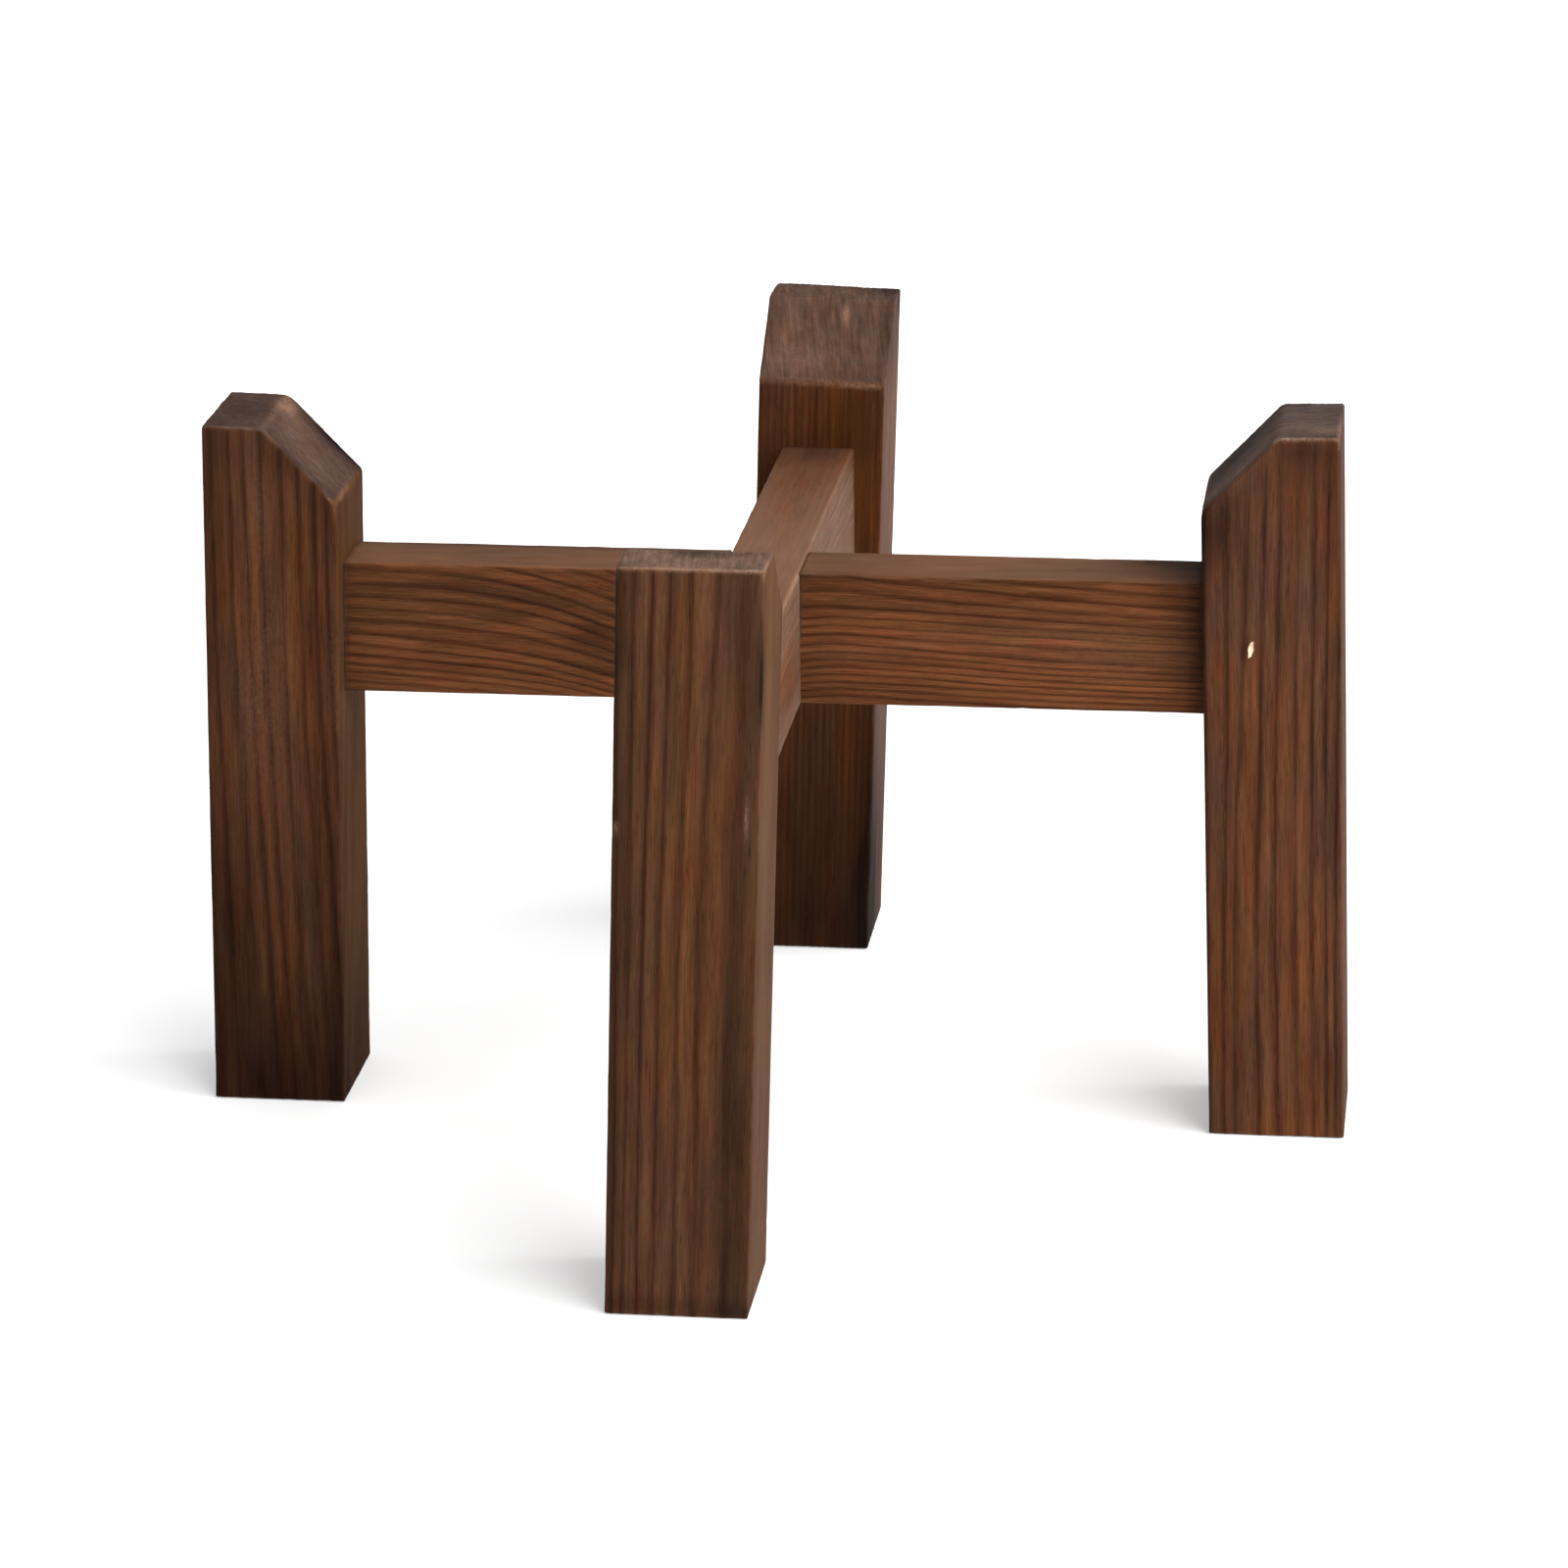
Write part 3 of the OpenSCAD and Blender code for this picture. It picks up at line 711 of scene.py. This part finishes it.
# ---------------------------------------------------------------- rails
def build_rail(key, turn, ends, up, notch, seed):
    """A rail: ends are the two posts, at its low and high x; up is 1 for a notch in its top, at x = notch."""
    rz = rot_z(turn)
    m = np.array([CROSS - notch, 0, MID])
    place = lambda p: p @ rz.T + m
    back = lambda w: (w - m) @ rz
    h, w = RAIL_H / 2, RAIL_T / 2
    normals = np.array([[0, -1, 0], [0, 1, 0], [0, 0, 1], [0, 0, -1.0]])
    offsets = np.array([w, w, h, h])
    # the posts' inner faces, in the rail's frame
    cuts = []
    for e in ends:
        _, _, r, t = post_place(e)
        n = rz.T @ (r @ np.array([1.0, 0, 0]))
        c = back(t[None])[0]
        cuts.append((n, n @ c))
    xs = ticks(0, 254, 2.2, ()) / 254
    ys = ticks(-w, w, 0.55)
    zs = ticks(-h, h, 0.5)
    ijk, quads = box_grid(len(xs), len(ys), len(zs))
    t, y, z = xs[ijk[:, 0]], ys[ijk[:, 1]], zs[ijk[:, 2]]
    x0 = (cuts[0][1] - cuts[0][0][1] * y - cuts[0][0][2] * z) / cuts[0][0][0]
    x1 = (cuts[1][1] - cuts[1][0][1] * y - cuts[1][0][2] * z) / cuts[1][0][0]
    p = np.stack([x0 + t * (x1 - x0), y, z], 1)
    radius = np.clip(0.9 + 0.3 * noise(p, (9, 7, 7), 70 + seed, 2) + 0.15 * noise(p, (3, 2, 2), 75 + seed)
                     + 1.1 * np.clip(noise(p, (4, 2.6, 2.6), 77 + seed) - 0.5, 0, 1)
                     + blobs(p, RAIL_ROUNDER[key]), 0.45, 2.4)
    # only the long edges are eased: the ends are sawn square against the posts
    vy = np.maximum(np.abs(y) - (w - radius), 0)
    vz = np.maximum(np.abs(z) - (h - radius), 0)
    both = np.hypot(vy, vz)
    squash = np.where(both > 0, np.maximum(vy, vz) / np.maximum(both, 1e-9), 1)
    p[:, 1] = np.sign(y) * (np.minimum(np.abs(y), w - radius) + vy * squash)
    p[:, 2] = np.sign(z) * (np.minimum(np.abs(z), h - radius) + vz * squash)
    onskin = (np.abs(np.abs(y) - w) < 1e-6) | (np.abs(np.abs(z) - h) < 1e-6)
    g = np.stack([np.zeros(len(p)), np.sign(y) * vy, np.sign(z) * vz], 1) / np.maximum(both, 1e-9)[:, None]
    wood, ring = rail_wood(key, p)
    late = latewood(ring % 1)
    relief = 0.055 * (1 - late) + 0.03 * (1 + noise(p, (34, 9, 9), 80 + seed, 2))
    relief += 0.10 * np.clip(noise(p, (6, 3, 3), 90 + seed) - 0.62, 0, 1) / 0.38
    relief = relief * step(0, 1.5, 127 - np.abs(p[:, 0]))
    p = p - g * (relief * onskin)[:, None]
    ob = make_object("wood_rail_" + key, place(p), quads)
    for e, sign in zip(ends, (-1, 1)):
        tz = rot_z(POSTS[e][0])
        t0 = meet(e)
        tenon = block("tenon", (-4, -TENON_T / 2, -h + SHOULDER), (TENON_L, TENON_T / 2, h - SHOULDER),
                      lambda s: s @ tz.T + t0, 0.9)
        cut(ob, tenon, "UNION")
    lap = (w + GAP)
    lo = (notch - lap, -w - 8, 0.0) if up > 0 else (notch - lap, -w - 8, -h - 8)
    hi = (notch + lap, w + 8, h + 8) if up > 0 else (notch + lap, w + 8, 0.0)
    cut(ob, block("cutter", lo, hi, place))
    for e in ends:
        brad_holes(ob, e)
    own = finish_wood(ob, key, back, rail_wood, normals, offsets, seed, 0)

    def pick(c):
        half = (c[:, 0] > 0).astype(int)
        d = c @ normals.T - offsets
        best = d.argmax(1) * 2 + half
        tenon_part = np.abs(c[:, 0]) > 128.6
        dt = np.stack([-c[:, 1] - 6, c[:, 1] - 6, c[:, 2] - 15, -c[:, 2] - 15], 1)
        best = np.where(tenon_part, 8 + dt.argmax(1) * 2 + half, best)
        at_end = np.abs(c[:, 0]) > 150.9
        shoulder_part = (np.abs(np.abs(c[:, 0]) - 127) < 1.6) & (d.max(1) < -0.05) & (np.abs(c[:, 0]) <= 128.6)
        best = np.where(shoulder_part, 16 + half, best)
        best = np.where(at_end, 18 + half, best)
        off = c[:, 0] - notch
        lap_wall = (np.abs(np.abs(off) - lap) < 0.02) & (d.max(1) < -0.05)
        best = np.where(lap_wall, 20 + (off > 0), best)
        lap_floor = (np.abs(c[:, 2]) < 0.02) & (np.abs(off) < lap)
        return np.where(lap_floor, 22, best)

    flat = []
    for i, fn in enumerate((lambda p: p[:, 2] + 20, lambda p: p[:, 2] + 20)):
        flat += [(lambda p: p[:, 0] + 127, fn, 1, 1 + i * 84), (lambda p: p[:, 0], fn, 1, 43 + i * 84)]
    for i, fn in enumerate((lambda p: p[:, 1] + 11.5, lambda p: p[:, 1] + 11.5)):
        flat += [(lambda p: p[:, 0] + 127, fn, 1, 169 + i * 25), (lambda p: p[:, 0], fn, 130, 169 + i * 25)]
    zf, yf = (lambda p: p[:, 2] + 15), (lambda p: p[:, 1] + 6)
    lo_u, hi_u = (lambda p: p[:, 0] + 151), (lambda p: p[:, 0] - 127)
    flat += [(lo_u, zf, 131, 1), (hi_u, zf, 131, 33), (lo_u, zf, 131, 65), (hi_u, zf, 131, 97)]
    flat += [(lo_u, yf, 158, 1), (hi_u, yf, 158, 15), (lo_u, yf, 158, 29), (hi_u, yf, 158, 43)]
    yz = (lambda p: p[:, 1] + 11.5), (lambda p: p[:, 2] + 20)
    flat += [(yz[0], yz[1], 185, 1), (yz[0], yz[1], 185, 43)]                    # shoulders
    flat += [(lambda p: p[:, 1] + 6, zf, 158, 58), (lambda p: p[:, 1] + 6, zf, 158, 90)]   # tenon ends
    flat += [(yz[0], yz[1], 185, 85), (yz[0], yz[1], 185, 127)]                  # lap walls
    flat += [(lambda p: p[:, 0] - notch + 11.6, lambda p: p[:, 1] + 11.5, 131, 130)]     # lap floor
    bake_map(ob, own, {"pick": pick, "flat": flat}, 260.0)
    return ob


# ---------------------------------------------------------------- materials
class Graph:
    """Short-hand for building a node tree."""

    def __init__(self, name):
        self.mat = bpy.data.materials.new(name)
        self.mat.use_nodes = True
        self.tree = self.mat.node_tree
        self.tree.nodes.clear()
        self.out = self.tree.nodes.new("ShaderNodeOutputMaterial")
        self.bsdf = self.tree.nodes.new("ShaderNodeBsdfPrincipled")
        self.link(self.bsdf.outputs[0], self.out.inputs[0])

    def link(self, a, b):
        self.tree.links.new(a, b)

    def put(self, socket, value):
        if isinstance(value, bpy.types.NodeSocket):
            self.link(value, socket)
        elif hasattr(value, "__len__") and len(value) == 3 and len(socket.default_value) == 4:
            socket.default_value = (*value, 1)
        else:
            socket.default_value = value

    def attr(self, name, vector=False):
        n = self.tree.nodes.new("ShaderNodeAttribute")
        n.attribute_name = name
        return n.outputs["Vector" if vector else "Fac"]

    def math(self, op, a, b=0.0, c=0.0, clamp=False):
        n = self.tree.nodes.new("ShaderNodeMath")
        n.operation = op
        n.use_clamp = clamp
        for s, v in zip(n.inputs, (a, b, c)):
            self.put(s, v)
        return n.outputs[0]

    def scale(self, vector, xyz):
        n = self.tree.nodes.new("ShaderNodeVectorMath")
        n.operation = "MULTIPLY"
        self.put(n.inputs[0], vector)
        n.inputs[1].default_value = xyz
        return n.outputs[0]

    def noise(self, vector, xyz, detail=2.0, rough=0.5, distort=0.0):
        n = self.tree.nodes.new("ShaderNodeTexNoise")
        n.inputs["Scale"].default_value = 1.0
        n.inputs["Detail"].default_value = detail
        n.inputs["Roughness"].default_value = rough
        n.inputs["Distortion"].default_value = distort
        self.link(self.scale(vector, xyz), n.inputs["Vector"])
        return n.outputs["Fac"]

    def ramp(self, fac, stops):
        n = self.tree.nodes.new("ShaderNodeValToRGB")
        e = n.color_ramp.elements
        while len(e) < len(stops):
            e.new(0.5)
        for el, (pos, col) in zip(e, stops):
            el.position = pos
            el.color = (*col, 1) if hasattr(col, "__len__") else (col, col, col, 1)
        self.put(n.inputs[0], fac)
        return n.outputs[0]

    def mix(self, fac, a, b, how="MIX"):
        n = self.tree.nodes.new("ShaderNodeMix")
        n.data_type = "RGBA"
        n.blend_type = how
        self.put(n.inputs[0], fac)
        self.put(n.inputs[6], a)
        self.put(n.inputs[7], b)
        return n.outputs[2]

    def white(self, value):
        n = self.tree.nodes.new("ShaderNodeTexWhiteNoise")
        n.noise_dimensions = "1D"
        self.put(n.inputs["W"], value)
        return n.outputs["Value"]


def lin(*rgb, gain=0.62):
    """Screen colour, 0 to 255, as linear light."""
    return tuple(gain * (c / 255 / 12.92 if c / 255 <= 0.04045 else ((c / 255 + 0.055) / 1.055) ** 2.4) for c in rgb)


def wood_material(name, early, warm, cool, late, end, top, side, sheen=0.04, line=0.85, fine_lines=0.3, tear=1.0):
    """Carbonised softwood: colours are those of the face grain, of end grain, of what faces up and of what faces right;
    the colour of what faces up is weathered fade with painted sheen, and that of what faces right is a painted lit side
    with painted sheen.
    """
    g = Graph(name)
    wood = g.attr("wood", True)
    cut_way = g.attr("cut", True)
    ring = g.attr("ring")
    calm = g.attr("calm")
    upward = g.attr("upward")
    sideways = g.attr("sideways")
    face = g.attr("endgrain")
    # rings, with a little waver that is finer than the mesh
    waver = g.math("MULTIPLY_ADD", g.noise(wood, (0.5, 0.5, 0.03), 2), 0.2, -0.1)
    waver2 = g.math("MULTIPLY_ADD", g.noise(wood, (2.2, 2.2, 0.12), 2), 0.16, -0.08)
    ring = g.math("ADD", ring, g.math("ADD", waver, waver2))
    part = g.math("FRACT", ring)
    which = g.math("FLOOR", ring)
    luck = g.white(which)
    luck2 = g.white(g.math("ADD", which, 31.7))
    dark = g.ramp(part, list(zip(PROFILE_AT, PROFILE)))
    dark = g.math("MULTIPLY", dark, g.math("MULTIPLY_ADD", luck, 0.35, 0.68))
    patchy = g.noise(wood, (0.16, 0.16, 0.02), 2)
    dark = g.math("MULTIPLY", dark, g.math("MULTIPLY_ADD", patchy, 0.9, 0.52), clamp=True)
    # ring lines fade where calm, and under the painted sheen on what faces up and right
    plain = g.math("SUBTRACT", 1.0, calm)
    plain = g.math("MULTIPLY", plain, g.math("MULTIPLY_ADD", upward, -0.75, 1.0))
    plain = g.math("MULTIPLY", plain, g.math("MULTIPLY_ADD", sideways, -0.5, 1.0))
    dark = g.math("MULTIPLY", dark, g.math("MULTIPLY", plain, line))
    # earlywood tones
    tone = g.noise(wood, (0.1, 0.1, 0.012), 3)
    tone2 = g.noise(wood, (0.07, 0.07, 0.02), 2, distort=0.6)
    base = g.mix(g.ramp(tone, [(0.36, 0.0), (0.62, 1.0)]), early, warm)
    base = g.mix(g.ramp(tone2, [(0.42, 0.0), (0.66, 0.85)]), base, cool)
    base = g.mix(g.math("MULTIPLY", g.attr("warm"), 0.75, clamp=True), base, warm)
    base = g.mix(g.math("MULTIPLY", g.math("MULTIPLY_ADD", luck2, 0.34, -0.04, clamp=True), plain), base, late)
    # painted light: faces that look right, towards the key light, take the paler side colour as a painted lit side with
    # painted sheen
    painted_lit_side = g.math("MULTIPLY", sideways, g.math("MULTIPLY_ADD", g.attr("warm"), -0.8, 1.0, clamp=True))
    base = g.mix(g.math("MULTIPLY", painted_lit_side, g.math("MULTIPLY_ADD", tone, 0.5, 0.5), clamp=True), base, side)
    base = g.mix(dark, base, late)
    # small patches that are redder or more olive
    red = g.ramp(g.noise(wood, (0.42, 0.42, 0.05), 2, 0.6), [(0.5, 0.0), (0.72, 1.0)])
    olive = g.ramp(g.noise(wood, (0.36, 0.36, 0.045), 2, 0.6), [(0.52, 0.0), (0.75, 1.0)])
    base = g.mix(g.math("MULTIPLY", red, 0.8), base, (1.05, 0.78, 0.80), "MULTIPLY")
    base = g.mix(g.math("MULTIPLY", olive, 0.8), base, (0.84, 0.98, 0.74), "MULTIPLY")
    # fibres, short dark flecks and weathered streaks along the grain
    fibre = g.noise(wood, (2.4, 2.4, 0.06), 3, 0.65)
    fine = g.noise(wood, (6.5, 6.5, 0.25), 2, 0.6)
    broad = g.noise(wood, (0.5, 0.5, 0.02), 3, 0.55)
    parts = g.tree.nodes.new("ShaderNodeSeparateXYZ")
    g.link(wood, parts.inputs[0])
    flow = g.tree.nodes.new("ShaderNodeCombineXYZ")
    g.link(ring, flow.inputs[0])
    g.link(parts.outputs[2], flow.inputs[1])
    grain = g.noise(flow.outputs[0], (3.4, 0.03, 1), 3, 0.65)
    grain2 = g.noise(flow.outputs[0], (8.0, 0.05, 1), 3, 0.7)
    grain = g.math("ADD", grain, g.math("MULTIPLY_ADD", grain2, fine_lines, -0.5 * fine_lines))
    streak = g.math("ADD", g.math("MULTIPLY_ADD", fibre, 0.9, 0.55), g.math("MULTIPLY_ADD", fine, 0.6, -0.3))
    streak = g.math("MULTIPLY", streak, g.math("MULTIPLY_ADD", broad, 0.9, 0.55))
    streak = g.math("MULTIPLY", streak, g.math("MULTIPLY_ADD", g.math("MULTIPLY", g.math("SUBTRACT", grain, 0.5), plain), 1.1, 1.0))
    fleck = g.ramp(g.noise(wood, (3.2, 3.2, 0.14), 2, 0.55), [(0.56, 1.0), (0.70, 0.6)])
    streak = g.math("MULTIPLY", streak, fleck)
    # sawn end grain: grey-brown blotches, torn streaks along the saw's path, pores and faint rings
    torn = g.noise(cut_way, (1.5, 0.12, 1), 3, 0.6)
    torn2 = g.noise(cut_way, (0.45, 0.06, 1), 3, 0.65)
    blot = g.noise(cut_way, (0.16, 0.1, 1), 3, 0.6)
    pores = g.noise(wood, (4.0, 4.0, 4.0), 2, 0.7)
    speck = g.math("MULTIPLY", g.math("MULTIPLY_ADD", torn, 0.9, 0.55), g.math("MULTIPLY_ADD", torn2, 1.9, 0.05))
    speck = g.math("MULTIPLY_ADD", speck, tear, 1 - tear)
    speck = g.math("MULTIPLY", speck, g.math("MULTIPLY_ADD", pores, 0.8, 0.6))
    mottle = g.noise(cut_way, (0.5, 0.3, 1), 4, 0.65)
    speck = g.math("MULTIPLY", speck, g.math("MULTIPLY_ADD", mottle, 1.9 - 0.9 * tear, 0.05 + 0.45 * tear))
    end_col = g.mix(g.ramp(blot, [(0.38, 0.35), (0.62, 1.0)]), g.mix(0.55, base, end), end)
    base = g.mix(face, base, end_col)
    shade = g.math("ADD", g.math("MULTIPLY", streak, g.math("SUBTRACT", 1.0, face)), g.math("MULTIPLY", speck, face))
    n = g.tree.nodes.new("ShaderNodeVectorMath")
    n.operation = "SCALE"
    g.link(base, n.inputs[0])
    g.link(shade, n.inputs["Scale"])
    col = n.outputs[0]
    # fading on what faces up, with painted sheen: the tops' paler, greyer colour is weathering and painted light
    # together
    up = g.math("MULTIPLY", upward, g.math("MULTIPLY_ADD", g.noise(wood, (0.25, 0.25, 0.08), 3), 0.7, 0.15), clamp=True)
    up = g.math("MULTIPLY", up, g.math("SUBTRACT", 1.0, face))
    up = g.math("MULTIPLY", up, g.math("MULTIPLY_ADD", g.attr("warm"), -0.6, 1.0), clamp=True)
    col = g.mix(up, col, top)
    # scorched places, and painted shade at the joints, beside the rails and on the right post's slope; darker towards
    # the feet
    scorch_and_shade = g.math("MULTIPLY", g.attr("scorch_and_shade"), g.math("MULTIPLY_ADD", fibre, 0.6, 0.7), clamp=True)
    col = g.mix(scorch_and_shade, col, (0.10, 0.11, 0.15), "MULTIPLY")
    # worn edges, pale marks and painted highlights, and the bare wood of the chip
    rough_edge = g.noise(wood, (1.3, 1.3, 0.7), 3, 0.7)
    worn_and_highlight = g.math("MULTIPLY", g.attr("worn_and_highlight"), g.ramp(rough_edge, [(0.32, 0.2), (0.6, 1.0)]), clamp=True)
    col = g.mix(g.math("MULTIPLY", worn_and_highlight, 0.85), col, g.mix(tone, lin(166, 114, 84), lin(182, 152, 130)))
    pale = g.mix(g.noise(wood, (5, 5, 0.8), 2), (0.80, 0.58, 0.38), (0.92, 0.76, 0.56))
    col = g.mix(g.attr("bare"), col, pale)
    g.put(g.bsdf.inputs["Base Color"], col)
    rough = g.math("MULTIPLY_ADD", fibre, 0.2, 0.5)
    rough = g.math("ADD", rough, g.math("MULTIPLY", dark, -0.06))
    rough = g.math("ADD", rough, g.math("MULTIPLY", face, 0.12))
    rough = g.math("ADD", rough, g.math("MULTIPLY", sideways, 0.15), clamp=True)
    g.put(g.bsdf.inputs["Roughness"], rough)
    g.bsdf.inputs["IOR"].default_value = 1.45
    g.bsdf.inputs["Specular IOR Level"].default_value = sheen
    # relief of fibres, pores and latewood
    height = g.math("ADD", g.math("MULTIPLY", fibre, 0.5), g.math("MULTIPLY", fine, 0.35))
    height = g.math("ADD", height, g.math("MULTIPLY", dark, 0.25))
    height = g.math("MULTIPLY", height, g.math("SUBTRACT", 1.0, face))
    height = g.math("ADD", height, g.math("MULTIPLY", g.math("ADD", g.math("MULTIPLY", pores, 0.5), torn), face))
    bump = g.tree.nodes.new("ShaderNodeBump")
    bump.inputs["Strength"].default_value = 0.8
    bump.inputs["Distance"].default_value = 0.00016
    g.link(height, bump.inputs["Height"])
    g.link(bump.outputs[0], g.bsdf.inputs["Normal"])
    return g.mat


def steel_material():
    g = Graph("brad_wire")
    co = g.tree.nodes.new("ShaderNodeTexCoord").outputs["Object"]
    scratch = g.noise(co, (2500, 2500, 2500), 3, 0.6)
    dull = g.noise(co, (500, 500, 500), 2)
    g.put(g.bsdf.inputs["Base Color"], g.mix(dull, (0.55, 0.53, 0.5), (0.72, 0.7, 0.66)))
    g.put(g.bsdf.inputs["Roughness"], g.math("MULTIPLY_ADD", scratch, 0.3, 0.2))
    g.bsdf.inputs["Metallic"].default_value = 1.0
    bump = g.tree.nodes.new("ShaderNodeBump")
    bump.inputs["Strength"].default_value = 0.3
    bump.inputs["Distance"].default_value = 0.00003
    g.link(scratch, bump.inputs["Height"])
    g.link(bump.outputs[0], g.bsdf.inputs["Normal"])
    return g.mat


# Face grain's colours of each piece as seen in the studio's light; top is weathered fade with painted sheen on what
# faces up, and side is a painted lit side with painted sheen on what faces right
WOODS = {
    "post_left": dict(early=lin(98, 62, 42), warm=lin(104, 63, 35), cool=lin(84, 56, 42), late=lin(52, 28, 17),
                      end=lin(91, 72, 66), top=lin(100, 72, 56), side=lin(102, 67, 37), sheen=0.02, line=0.8,
                      tear=0.35),
    "post_right": dict(early=lin(111, 74, 54), warm=lin(124, 74, 42), cool=lin(98, 68, 52), late=lin(62, 34, 21),
                       end=lin(99, 85, 79), top=lin(100, 74, 60), side=lin(104, 72, 55), line=0.85, tear=0.8),
    "post_front": dict(early=lin(104, 69, 48), warm=lin(108, 68, 40), cool=lin(90, 64, 47), late=lin(60, 31, 18),
                       end=lin(132, 106, 90), top=lin(110, 82, 66), side=lin(115, 80, 55), line=0.85),
    "post_rear": dict(early=lin(102, 60, 34), warm=lin(112, 64, 30), cool=lin(90, 58, 40), late=lin(56, 28, 14),
                      end=lin(102, 78, 67), top=lin(110, 80, 64), side=lin(124, 95, 82), line=0.6),
    "rail_left_right": dict(early=lin(116, 72, 44), warm=lin(146, 88, 54), cool=lin(106, 70, 43), late=lin(60, 32, 17),
                            end=lin(84, 58, 42), top=lin(142, 107, 84), side=lin(110, 76, 54), line=0.82,
                            fine_lines=1.0),
    "rail_front_rear": dict(early=lin(128, 88, 66), warm=lin(126, 74, 42), cool=lin(124, 90, 72), late=lin(82, 50, 34),
                            end=lin(84, 58, 42), top=lin(150, 116, 96), side=lin(136, 106, 89), line=0.8),
}
STEEL = steel_material()

pieces = {}
for i, key in enumerate(("left", "right", "front", "rear")):
    pieces["post_" + key] = build_post(key, i + 1)
pieces["rail_left_right"] = build_rail("left_right", 0, ("left", "right"), 1, CROSS, 5)
pieces["rail_front_rear"] = build_rail("front_rear", 90, ("front", "rear"), -1, 0.0, 6)
for node, ob in pieces.items():
    ob.data.materials.clear()
    ob.data.materials.append(wood_material("wood_" + node, **WOODS[node]))
    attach(ob, "root")
    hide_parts(node)
for node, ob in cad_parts.items():
    if node.startswith("brad"):
        ob.data.materials.clear()
        ob.data.materials.append(STEEL)

# ---------------------------------------------------------------- stage, light and camera
me = bpy.data.meshes.new("floor")
s = 30.0
me.from_pydata([(-s, -s, 0), (s, -s, 0), (s, s, 0), (-s, s, 0)], [], [(0, 1, 2, 3)])
floor = bpy.data.objects.new("floor", me)
scene.collection.objects.link(floor)
floor.location.z = -0.0002
g = Graph("floor_paper")
co = g.tree.nodes.new("ShaderNodeTexCoord").outputs["Object"]
g.put(g.bsdf.inputs["Base Color"], g.mix(g.noise(co, (3, 3, 3), 3), (0.86, 0.86, 0.86), (0.89, 0.89, 0.89)))
g.bsdf.inputs["Roughness"].default_value = 0.9
g.bsdf.inputs["Emission Color"].default_value = (1, 1, 1, 1)
g.bsdf.inputs["Emission Strength"].default_value = 0.2
g.bsdf.inputs["Specular IOR Level"].default_value = 0.1
floor.data.materials.append(g.mat)

# A studio that is brightest to the right, above and in front of the stand
world = bpy.data.worlds.new("studio")
scene.world = world
world.use_nodes = True
wt = world.node_tree
view_dir = wt.nodes.new("ShaderNodeTexCoord").outputs["Generated"]
dot = wt.nodes.new("ShaderNodeVectorMath")
dot.operation = "DOT_PRODUCT"
dot.inputs[1].default_value = Vector((0.75, -0.4, 0.5)).normalized()
wt.links.new(view_dir, dot.inputs[0])
glow = wt.nodes.new("ShaderNodeMath")
glow.operation = "MULTIPLY_ADD"
glow.inputs[1].default_value = 0.45
glow.inputs[2].default_value = 0.65
wt.links.new(dot.outputs["Value"], glow.inputs[0])
wt.nodes["Background"].inputs[0].default_value = (1, 1, 1, 1)
wt.links.new(glow.outputs[0], wt.nodes["Background"].inputs[1])


def lamp(name, direction, energy, angle, colour=(1, 1, 1)):
    data = bpy.data.lights.new(name, "SUN")
    data.energy = energy
    data.angle = math.radians(angle)
    data.color = colour
    ob = bpy.data.objects.new(name, data)
    ob.rotation_mode = "QUATERNION"
    ob.rotation_quaternion = Vector(direction).to_track_quat("Z", "Y")
    scene.collection.objects.link(ob)


lamp("key", (0.8, -0.4, 0.65), 3.3, 70)

cam = bpy.data.cameras.new("camera")
cam.sensor_fit = "HORIZONTAL"
cam.sensor_width = 36.0
cam.lens = 128.450
cam.clip_start, cam.clip_end = 0.05, 100.0
camera = bpy.data.objects.new("camera", cam)
camera.location = (0.20797, -1.56368, 0.63192)
camera.rotation_euler = tuple(math.radians(a) for a in (71.3281, 0.6979, 7.2642))
scene.collection.objects.link(camera)
scene.camera = camera
scene.view_settings.view_transform = "Standard"
scene.view_settings.look = "None"

bpy.context.view_layer.update()
